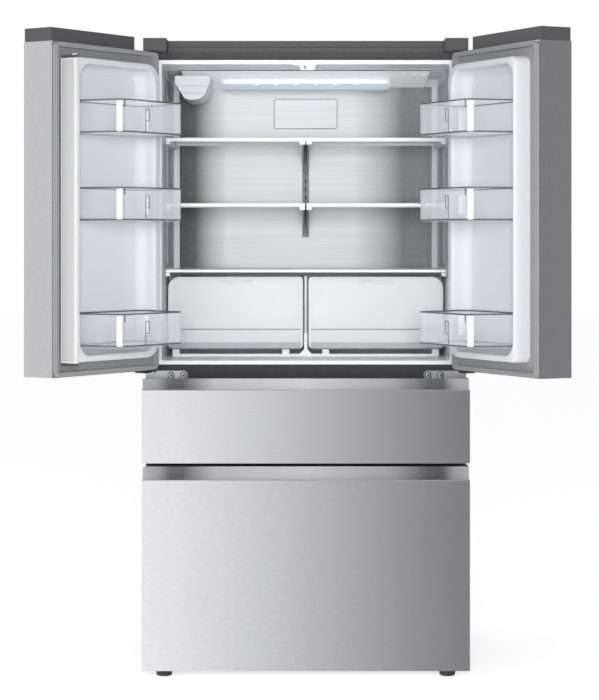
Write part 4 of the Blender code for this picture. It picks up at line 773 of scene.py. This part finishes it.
def makeCrisper(name, side):
    look = crisper
    low, high = boxOf(f"{name}_crisper")
    near, far = sorted((side * low.x, side * high.x))
    wall, plateBack = look["wall"], low.y + look["frontThick"]
    box = ((near + 0.002, plateBack), (far - 0.002, high.y))
    sections = (
        (0.01, low.z), (0.004, low.z + 0.002), (0.0015, low.z + 0.008), (0.0, high.z - 0.006),
        (0.0, high.z - 0.001), (wall + 0.001, high.z - 0.001), (wall, high.z - 0.008),
        (wall + 0.002, low.z + 0.008), (0.012, low.z + wall),
    )
    bm = bmesh.new()
    loft(bm, [(rectShape(*grown(*box, -inward), 0.014, 4), height) for inward, height in sections], "Z")
    radii = [look["bottomCorner"], look["bottomCorner"], look["outerCorner"], look["innerCorner"]]
    plate = []
    for inward, depth in ((0.002, low.y + 0.0002), (0.0004, low.y + 0.0012), (0.0, plateBack)):
        shape = rectShape(*grown((near, low.z), (far, high.z), -inward), [r - inward for r in radii], 6)
        plate.append((shape, depth))
    loft(bm, plate, "Y", mat=1)
    start, stop, behind = near + 0.006, far - 0.006, low.y + 0.001
    ridge = low.z + look["ridge"]
    roundBlock(bm, (start, low.y - 0.0012, ridge), (stop, behind, ridge + 0.002), 0.0008, mat=3)
    for inset in look["shownWalls"]:  # side walls that show through the front
        x = (near if inset > 0 else far) + inset
        roundBlock(bm, (x, low.y + 0.0035, low.z + 0.02), (x + 0.0016, low.y + 0.0055, high.z - 0.02),
                   0.0005, mat=3)
    middle, lipFront = (near + far) / 2, low.y - 0.006
    corners = [(lipFront, high.z - 0.018), (behind, high.z - 0.022), (behind, high.z - 0.012),
               (lipFront, high.z - 0.014)]
    lip = roundedShape(corners, 0.0012, 3)
    loft(bm, [(lip, middle - look["lipHalf"]), (lip, middle + look["lipHalf"])], "X", mat=2)
    roundBlock(bm, (start, low.y - 0.0006, low.z + 0.001), (stop, behind, low.z + 0.004), 0.0006, mat=3)
    roundBlock(bm, (start, low.y - 0.0004, low.z + 0.006), (stop, behind, low.z + 0.02), 0.0006, mat=4)
    # the dark ridge, walls seen through the front and bottom line are painted shade for the clear plastic's
    # edges
    materials = ["clearPlastic", "milkyPlastic", "milkyPlastic", "paintedEdgeShade", "smokyPlastic"]
    newPiece(f"{name}_crisper_drawer", bm, materials, f"{name}_crisper", side=side,
             replaced=[f"{name}_crisper"])


makeCrisperCover()
makeCrisper("left", -1)
makeCrisper("right", 1)
print("shelves and crispers detailed")


# Fridge ceiling and back: light lens with six domes, filter cover outline, side ribs, latch clip

lens = {"domes": 6, "domeSpread": 0.148, "endDepth": 0.93, "endDrop": 0.85, "endLength": 0.012}


def makeLens():
    low, high = boxOf("ceiling_light_lens")
    depth, drop = high.y - low.y, high.z - low.z
    corners = [(low.y + 0.03, low.z), (high.y - 0.006, low.z + 0.006), (high.y, high.z), (low.y, high.z),
               (low.y + 0.004, low.z + 0.45 * drop)]
    profile = roundedShape(corners, [0.01, 0.008, 0.0005, 0.0005, 0.008], 4)
    thin, flat = lens["endDepth"], lens["endDrop"]
    ends = [(p[0] * thin + (1 - thin) * (low.y + depth / 2), p[1] * flat + (1 - flat) * high.z)
            for p in profile]
    start, stop = low.x + lens["endLength"], high.x - lens["endLength"]
    bm = bmesh.new()
    loft(bm, [(ends, low.x), (profile, start), (profile, stop), (ends, high.x)], "X")
    band = low.y + 0.0015
    strips = (  # ends' inset, front, underside, back, top, edge, material
        (0.01, band - 0.003, high.z - 0.46 * drop, band + 0.004, high.z - 0.14 * drop, 0.0015, 1),
        (0.004, low.y + 0.0035, low.z + 0.46 * drop, low.y + 0.01, low.z + 0.52 * drop, 0.0008, 2),
        (0.01, low.y + 0.026, low.z - 0.0008, low.y + 0.034, low.z + 0.0016, 0.0008, 2),
    )
    for inset, front, under, back, top, edge, mat in strips:
        roundBlock(bm, (low.x + inset, front, under), (high.x - inset, back, top), edge, mat=mat)
    dome = [(0.0095, 0.002), (0.0088, -0.001), (0.006, -0.0032), (0.002, -0.004)]
    for i in range(lens["domes"]):
        x = (i / (lens["domes"] - 1) - 0.5) * 2 * lens["domeSpread"]
        turned(bm, (x, band - 0.004, high.z - 0.3 * drop), dome, "Y", mat=1)
    newPiece("ceiling_light_body", bm, ["lensPlastic", "litWhite", "smokyPlastic"], "cabinet",
             replaced=["ceiling_light_lens"])


def makeFilterOutline():
    low, high = boxOf("air_filter_cover")
    bm = bmesh.new()
    face = ((low.x, low.z), (high.x, high.z))
    rings = [(rectShape(*grown(*face, -inward), 0.009 - inward, 5), low.y + depth)
             for inward, depth in ((0.0002, 0.002), (0.0002, -0.0012), (0.001, -0.0016), (0.0022, -0.0012),
                 (0.0024, 0.002))]
    loft(bm, rings, "Y", closed=True)
    for x in (low.x + 0.012, high.x - 0.024):
        roundBlock(bm, (x, low.y - 0.0022, high.z - 0.0095),
                   (x + 0.012, low.y + 0.001, high.z - 0.0045), 0.001, mat=1)
        roundBlock(bm, (x, low.y - 0.0016, low.z + 0.005), (x + 0.012, low.y + 0.001, low.z + 0.0075),
                   0.0008, mat=1)
    newPiece("air_filter_outline", bm, ["bracketGrey", "trimWhite"], "cabinet")


# thin grey facings, (y, z)
sideRib = {
    "half": 0.4058, "places": (0.338, 0.372, 0.56, 0.594), "width": 0.0075, "bottom": 1.15, "top": 1.64,
    "panels": (((0.132, 0.886), (0.296, 1.712)), ((0.2965, 1.14), (0.684, 1.69))),
}


def makeSideRibs():
    bm = bmesh.new()
    half, bottom, top = sideRib["half"], sideRib["bottom"], sideRib["top"]
    for x in (-half - 0.001, half - 0.0005):
        for low, high in sideRib["panels"]:
            roundBlock(bm, (x, *low), (x + 0.0015, *high), 0.0006, mat=1)
    for y in sideRib["places"]:  # upright ribs that carry the shelf ends
        back = y + sideRib["width"]
        roundBlock(bm, (-half - 0.001, y, bottom), (-half + 0.0022, back, top), 0.0012)
        roundBlock(bm, (half - 0.0022, y, bottom), (half + 0.001, back, top), 0.0012)
    newPiece("side_ribs", bm, ["sideGrey", "sideGrey"], "cabinet")


ladder = {"slots": 11, "slotWidth": 0.0044, "slotHeight": 0.0125, "postBottom": 0.95, "postTop": 1.118}


def makeLadderDetails():
    low, high = boxOf("shelf_ladder")
    bm = bmesh.new()
    half, last = ladder["slotWidth"] / 2, ladder["slots"] - 1
    for i in range(ladder["slots"]):  # slots that the bracket hooks drop into
        z = low.z + 0.012 + (high.z - low.z - 0.03) * i / last
        roundBlock(bm, (-half, low.y - 0.0004, z), (half, low.y + 0.001, z + ladder["slotHeight"]),
                   0.0009, mat=1)
    # thin light strips along the ladder's two edges: painted highlights
    for x in (low.x - 0.0002, high.x - 0.0016):
        roundBlock(bm, (x, low.y - 0.0012, low.z), (x + 0.0018, low.y + 0.001, high.z), 0.0006)
    newPiece("ladder_slots", bm, ["zincPlate", "blackPlastic"], "cabinet")
    bm = bmesh.new()
    for side in (-1, 1):  # edge strips on the post between the crispers, flared at its foot
        bottom, top = ladder["postBottom"], ladder["postTop"]
        strip = [(side * 0.002, bottom), (side * 0.0052, bottom), (side * 0.0046, top), (side * 0.0026, top)]
        loft(bm, [(strip, 0.3082), (strip, 0.3096)], "Y")
    newPiece("post_strips", bm, ["bracketGrey"], "cabinet")


ceilingDuct = {
    "front": 0.2995, "back": 0.6845, "frontLevel": 1.7156, "backLevel": 1.6916, "half": 0.3635,
    "slots": (0.285, 0.318, 0.345),
}


def makeCeilingDuct():
    front, back, near, far, half = (ceilingDuct[key]
        for key in ("front", "back", "frontLevel", "backLevel", "half"))
    bm = bmesh.new()
    slope = [(front, near - 0.0015), (back, far - 0.0015), (back, far - 0.0002), (front, near - 0.0002)]
    loft(bm, [(slope, -half), (slope, half)], "X")
    roundBlock(bm, (-half, front - 0.0016, near - 0.004), (half, front - 0.0002, near - 0.0012),
               0.0005, mat=1)
    for x in ceilingDuct["slots"]:  # shallow air slots near the right corner
        roundBlock(bm, (x, 0.38, near - 0.01), (x + 0.006, 0.64, near - 0.0092), 0.0003)
    # the duct's slope is in litWhite, which glows: painted light standing in for light that doesn't reach the
    # downward-facing duct
    newPiece("ceiling_duct_skin", bm, ["litWhite", "blackPlastic"], "cabinet")


runner = {
    "drawers": (("drawer_box", "drawer", 0.7), ("freezer_basket", "freezer_drawer", 0.33)),
    "across": ((0.3846, 0.392), (0.3935, 0.405), (0.393, 0.3945)),  # slide, rail, groove
    "front": 0.125, "height": 0.03, "longest": 0.62,
}


def makeRunners():
    front, tall = runner["front"], runner["height"]
    for box, body, level in runner["drawers"]:
        slide, rail = bmesh.new(), bmesh.new()
        deep = min(boxOf(box)[1].y, runner["longest"])
        for side in (-1, 1):
            inner, outer, groove = (sorted((side * a, side * b)) for a, b in runner["across"])
            roundBlock(slide, (inner[0], front, level), (inner[1], deep - 0.02, level + tall), 0.002)
            roundBlock(rail, (outer[0], front + 0.01, level - 0.004),
                       (outer[1], deep, level + tall + 0.004), 0.0025)
            roundBlock(rail, (groove[0], front + 0.015, level + 0.012),
                       (groove[1], deep - 0.01, level + 0.018), 0.0005, mat=1)
        newPiece(f"{box}_slide", slide, ["zincPlate"], body)
        newPiece(f"{box}_rail", rail, ["zincPlate", "blackPlastic"], "cabinet")


def makeFilterBand():
    low, high = boxOf("water_filter_housing")
    bm = bmesh.new()
    for z in (high.z - 0.03, low.z + 0.02):
        inset = 0.001 if z > low.z + 0.03 else 0.018
        roundBlock(bm, (low.x + inset, low.y - 0.0006, z),
                   (high.x - inset, low.y + 0.0025, z + 0.0014), 0.0005)
    newPiece("filter_bands", bm, ["sideGrey"], "cabinet")


def makeCatchClip():
    bm = bmesh.new()
    roundBlock(bm, (-0.034, 0.115, 1.7125), (0.03, 0.15, 1.7278), 0.003)
    roundBlock(bm, (-0.016, 0.134, 1.702), (0.026, 0.155, 1.719), 0.0025)
    roundBlock(bm, (-0.006, 0.1332, 1.705), (0.002, 0.135, 1.717), 0.0006, mat=1)
    newPiece("catch_clip", bm, ["trimWhite", "bracketGrey"], "cabinet")


makeLens()
makeFilterOutline()
makeSideRibs()
makeLadderDetails()
makeFilterBand()
makeCeilingDuct()
makeRunners()
makeCatchClip()
print("compartment detailed")


# Outside: hinge bolts, cover seams, drawer trims and the back's screws


def torxHead(bm, centre, radius, axis="Y", mat=0, outward=-1):
    dome = ((1.0, 0.0), (1.0, 0.0012), (0.82, 0.0026), (0.42, 0.0028))
    socket = ((0.4, 0.0022), (0.4, 0.003), (0.3, 0.003))
    for profile, slot, count in ((dome, mat, 24), (socket, mat + 1, 6)):
        turned(bm, centre, [(radius * share, outward * rise) for share, rise in profile], axis, slot, count)


scoop = {"front": 0.0052, "run": 0.0346, "depth": 0.022, "steps": 14}


def makeScoop(name, node, body, edge, rise):
    low, high = boxOf(node)
    start, stop, last = low.x + 0.0005, high.x - 0.0005, scoop["steps"]
    top, under = [], []
    for step in range(last + 1):
        share = step / last
        y = scoop["front"] + scoop["run"] * share
        z = edge - scoop["depth"] * math.sin(math.pi * share) + rise * share ** 2
        top.append((y, z + 0.0006))
        under.append((y, z - 0.001))
    outline = top + under[::-1]
    bm = bmesh.new()
    loft(bm, [(outline, start), (outline, stop)], "X")
    # dark strip along the front's top edge: painted shadow of the recess behind the edge
    roundBlock(bm, (start, -0.0003, edge - 0.0014), (stop, scoop["front"], edge + 0.0005), 0.0003, mat=1)
    newPiece(name, bm, ["scoopSteel", "bracketGrey"], body)


hingeBolt = {"places": (0.344, 0.379), "face": 0.1046, "level": 0.8405, "radius": 0.0078}


def makeHingeBolts():
    face, level = hingeBolt["face"], hingeBolt["level"]
    washer = [(0.0098, 0.0), (0.0098, -0.0006), (0.0088, -0.0008)]
    for name, side in (("left", -1), ("right", 1)):
        bm = bmesh.new()
        for x in hingeBolt["places"]:
            turned(bm, (x, face, level), washer, "Y", 1)
            torxHead(bm, (x, face - 0.0006, level), hingeBolt["radius"])
        newPiece(f"{name}_hinge_bolts", bm, ["zincPlate", "blackPlastic"], "cabinet", side=side)


topSeam = {
    "level": 0.014, "plugs": (-0.36, -0.18, 0.0, 0.18, 0.36), "ridges": (-0.27, -0.09, 0.09, 0.27),
    "ridgeHalf": 0.06,
}


def makeTopSeams():
    low, high = boxOf("top_cover")
    seam, plug = low.z + topSeam["level"], [(0.006, -0.002), (0.006, 0.0004), (0.0045, 0.0012),
        (0.002, 0.0008)]
    bm = bmesh.new()
    roundBlock(bm, (low.x + 0.004, low.y - 0.0006, seam),
               (high.x - 0.004, low.y + 0.002, seam + 0.0015), 0.0004)
    for x in topSeam["plugs"]:
        turned(bm, (x, 0.262, high.z), plug)
    for x in topSeam["ridges"]:
        start, stop = x - topSeam["ridgeHalf"], x + topSeam["ridgeHalf"]
        roundBlock(bm, (start, 0.15, high.z - 0.002), (stop, 0.154, high.z + 0.0012), 0.0008)
    newPiece("top_cover_seams", bm, ["blackPlastic"], "cabinet")


rear = {
    "beads": (0.1, 0.36, 0.62, 0.88), "beadInset": 0.055, "beadWidth": 0.012, "coverScrew": 0.0045,
    "panelScrew": 0.005,
}


def addScrews(name, places, y, radius):
    bm = bmesh.new()
    for x, z in places:
        torxHead(bm, (x, y, z), radius, "Y", 0, 1)
    newPiece(name, bm, ["zincPlate", "blackPlastic"], "cabinet")


def makeRearDetails():
    low, high = boxOf("rear_panel")
    back, inset, wide = high.y, rear["beadInset"], rear["beadWidth"]
    bm = bmesh.new()
    for share in rear["beads"]:  # long beads pressed in the sheet
        z = low.z + share * (high.z - low.z)
        roundBlock(bm, (low.x + inset, back - 0.0015, z), (high.x - inset, back + 0.0018, z + 0.016),
                   0.0017, segments=3)
    for x in (low.x + 0.018, high.x - 0.018 - wide):
        roundBlock(bm, (x, back - 0.0015, low.z + inset), (x + wide, back + 0.0014, high.z - inset),
                   0.0013, segments=3)
    newPiece("rear_beads", bm, ["greyPaint"], "cabinet")
    coverLow, coverHigh = boxOf("machine_cover")
    levels = (coverLow.z + 0.014, (coverLow.z + coverHigh.z) / 2, coverHigh.z - 0.01)
    places = [(x, z) for x in (coverLow.x + 0.012, coverHigh.x - 0.012) for z in levels]
    addScrews("machine_cover_screws", places, coverHigh.y, rear["coverScrew"])
    levels = (low.z + 0.02, (low.z + high.z) / 2, high.z - 0.02)
    places = [(x, z) for z in levels for x in (low.x + 0.02, 0.0, high.x - 0.02)]
    addScrews("rear_screws", places, back, rear["panelScrew"])


makeScoop("drawer_scoop", "drawer_front", "drawer", 0.806, 0.0286)
makeScoop("freezer_scoop", "freezer_front", "freezer_drawer", 0.5569, 0.0331)
makeHingeBolts()
makeTopSeams()
makeRearDetails()
print("outside detailed")


# Studio

studio = {
    "cameraPlace": (0.02, -6.2411, 1.2245), "lens": 111.85, "shift": (-0.0069, -0.159),
    "even": 0.24,  # what matt surfaces get from all round
    "floorGlow": 0.68, "floor": [(-30, -9), (30, -9), (30, 30), (-30, 30)],
    "room": [(0.0, 0.78), (0.4, 1.15), (0.452, 1.75), (0.532, 0.03), (0.6, 0.1), (0.75, 0.25), (1.0, 0.3)],
    "lights": {  # place, aim, size, power, spread in degrees
        "frontLeftBox": ((-2.6, -4.6, 2.6), (0.0, 0.0, 1.1), (2.4, 2.4), 13, 180),
        "frontFill": ((0.1, -5.0, 1.5), (0.0, 0.4, 1.3), (1.2, 1.2), 20, 60),
        "topBox": ((0.0, -1.2, 3.4), (0.0, 0.0, 0.8), (3.0, 2.0), 10, 180),
    },
}


def makeFloor():
    bm = bmesh.new()
    bm.faces.new([bm.verts.new((x, y, 0)) for x, y in studio["floor"]])
    mesh = bpy.data.meshes.new("floor")
    bm.to_mesh(mesh)
    bm.free()
    floor = bpy.data.objects.new("floor", mesh)
    scene.collection.objects.link(floor)
    material = bpy.data.materials.new("paleFloor")
    material.use_nodes = True
    tree = material.node_tree
    shader = tree.nodes["Principled BSDF"]
    grain = useGroup(tree, grainGroup, {"Colour": (0.94, 0.94, 0.94, 1), "Tint": (0.92, 0.92, 0.92, 1),
        "Scale": 9.0})
    tree.links.new(grain.outputs["Colour"], shader.inputs["Base Color"])
    shader.inputs["Roughness"].default_value = 0.9
    shader.inputs["Emission Color"].default_value = (1, 1, 1, 1)
    shader.inputs["Emission Strength"].default_value = studio["floorGlow"]
    output = tree.nodes["Material Output"]
    passing = tree.nodes.new("ShaderNodeBsdfTransparent")
    path = tree.nodes.new("ShaderNodeLightPath")
    choice = tree.nodes.new("ShaderNodeMixShader")
    tree.links.new(path.outputs["Is Glossy Ray"], choice.inputs[0])
    tree.links.new(shader.outputs[0], choice.inputs[1])
    tree.links.new(passing.outputs[0], choice.inputs[2])
    tree.links.new(choice.outputs[0], output.inputs["Surface"])
    mesh.materials.append(material)


def makeWorld():
    world = bpy.data.worlds.new("softStudio")
    scene.world = world
    world.use_nodes = True
    tree = world.node_tree
    background = tree.nodes["Background"]
    place = tree.nodes.new("ShaderNodeTexCoord")
    split = tree.nodes.new("ShaderNodeSeparateXYZ")
    tree.links.new(place.outputs["Generated"], split.inputs[0])
    span = mathNode(tree, "MULTIPLY", mathNode(tree, "ADD", split.outputs["X"], 1.0), 0.5)
    room = rampNode(tree, span, studio["room"])  # bright to the left, dark to the right
    path = tree.nodes.new("ShaderNodeLightPath")
    even = (studio["even"], studio["even"], studio["even"], 1)
    lit = mixNode(tree, path.outputs["Is Diffuse Ray"], room, even)
    shown = mixNode(tree, path.outputs["Is Camera Ray"], lit, (1.0, 1.0, 1.0, 1))
    tree.links.new(shown, background.inputs["Color"])
    background.inputs["Strength"].default_value = 1.0


def addSoftLight(name, place, aim, size, power, spread):
    light = bpy.data.lights.new(name, "AREA")
    light.shape = "RECTANGLE"
    light.size, light.size_y = size
    light.energy = power
    obj = bpy.data.objects.new(name, light)
    obj.location = place
    obj.rotation_euler = (Vector(aim) - Vector(place)).to_track_quat("-Z", "Y").to_euler()
    obj.visible_camera = False
    obj.visible_glossy = False
    light.spread = math.radians(spread)
    scene.collection.objects.link(obj)


def makeCamera():
    camera = bpy.data.cameras.new("camera")
    camera.lens = studio["lens"]
    camera.sensor_width = 36
    camera.shift_x, camera.shift_y = studio["shift"]
    camera.clip_end = 100
    obj = bpy.data.objects.new("camera", camera)
    obj.location = studio["cameraPlace"]
    obj.rotation_euler = (math.radians(90), 0, 0)
    scene.collection.objects.link(obj)
    scene.camera = obj


makeFloor()
makeWorld()
for lightName, settings in studio["lights"].items():
    addSoftLight(lightName, *settings)
makeCamera()
scene.view_settings.view_transform = "Standard"
print("studio made")
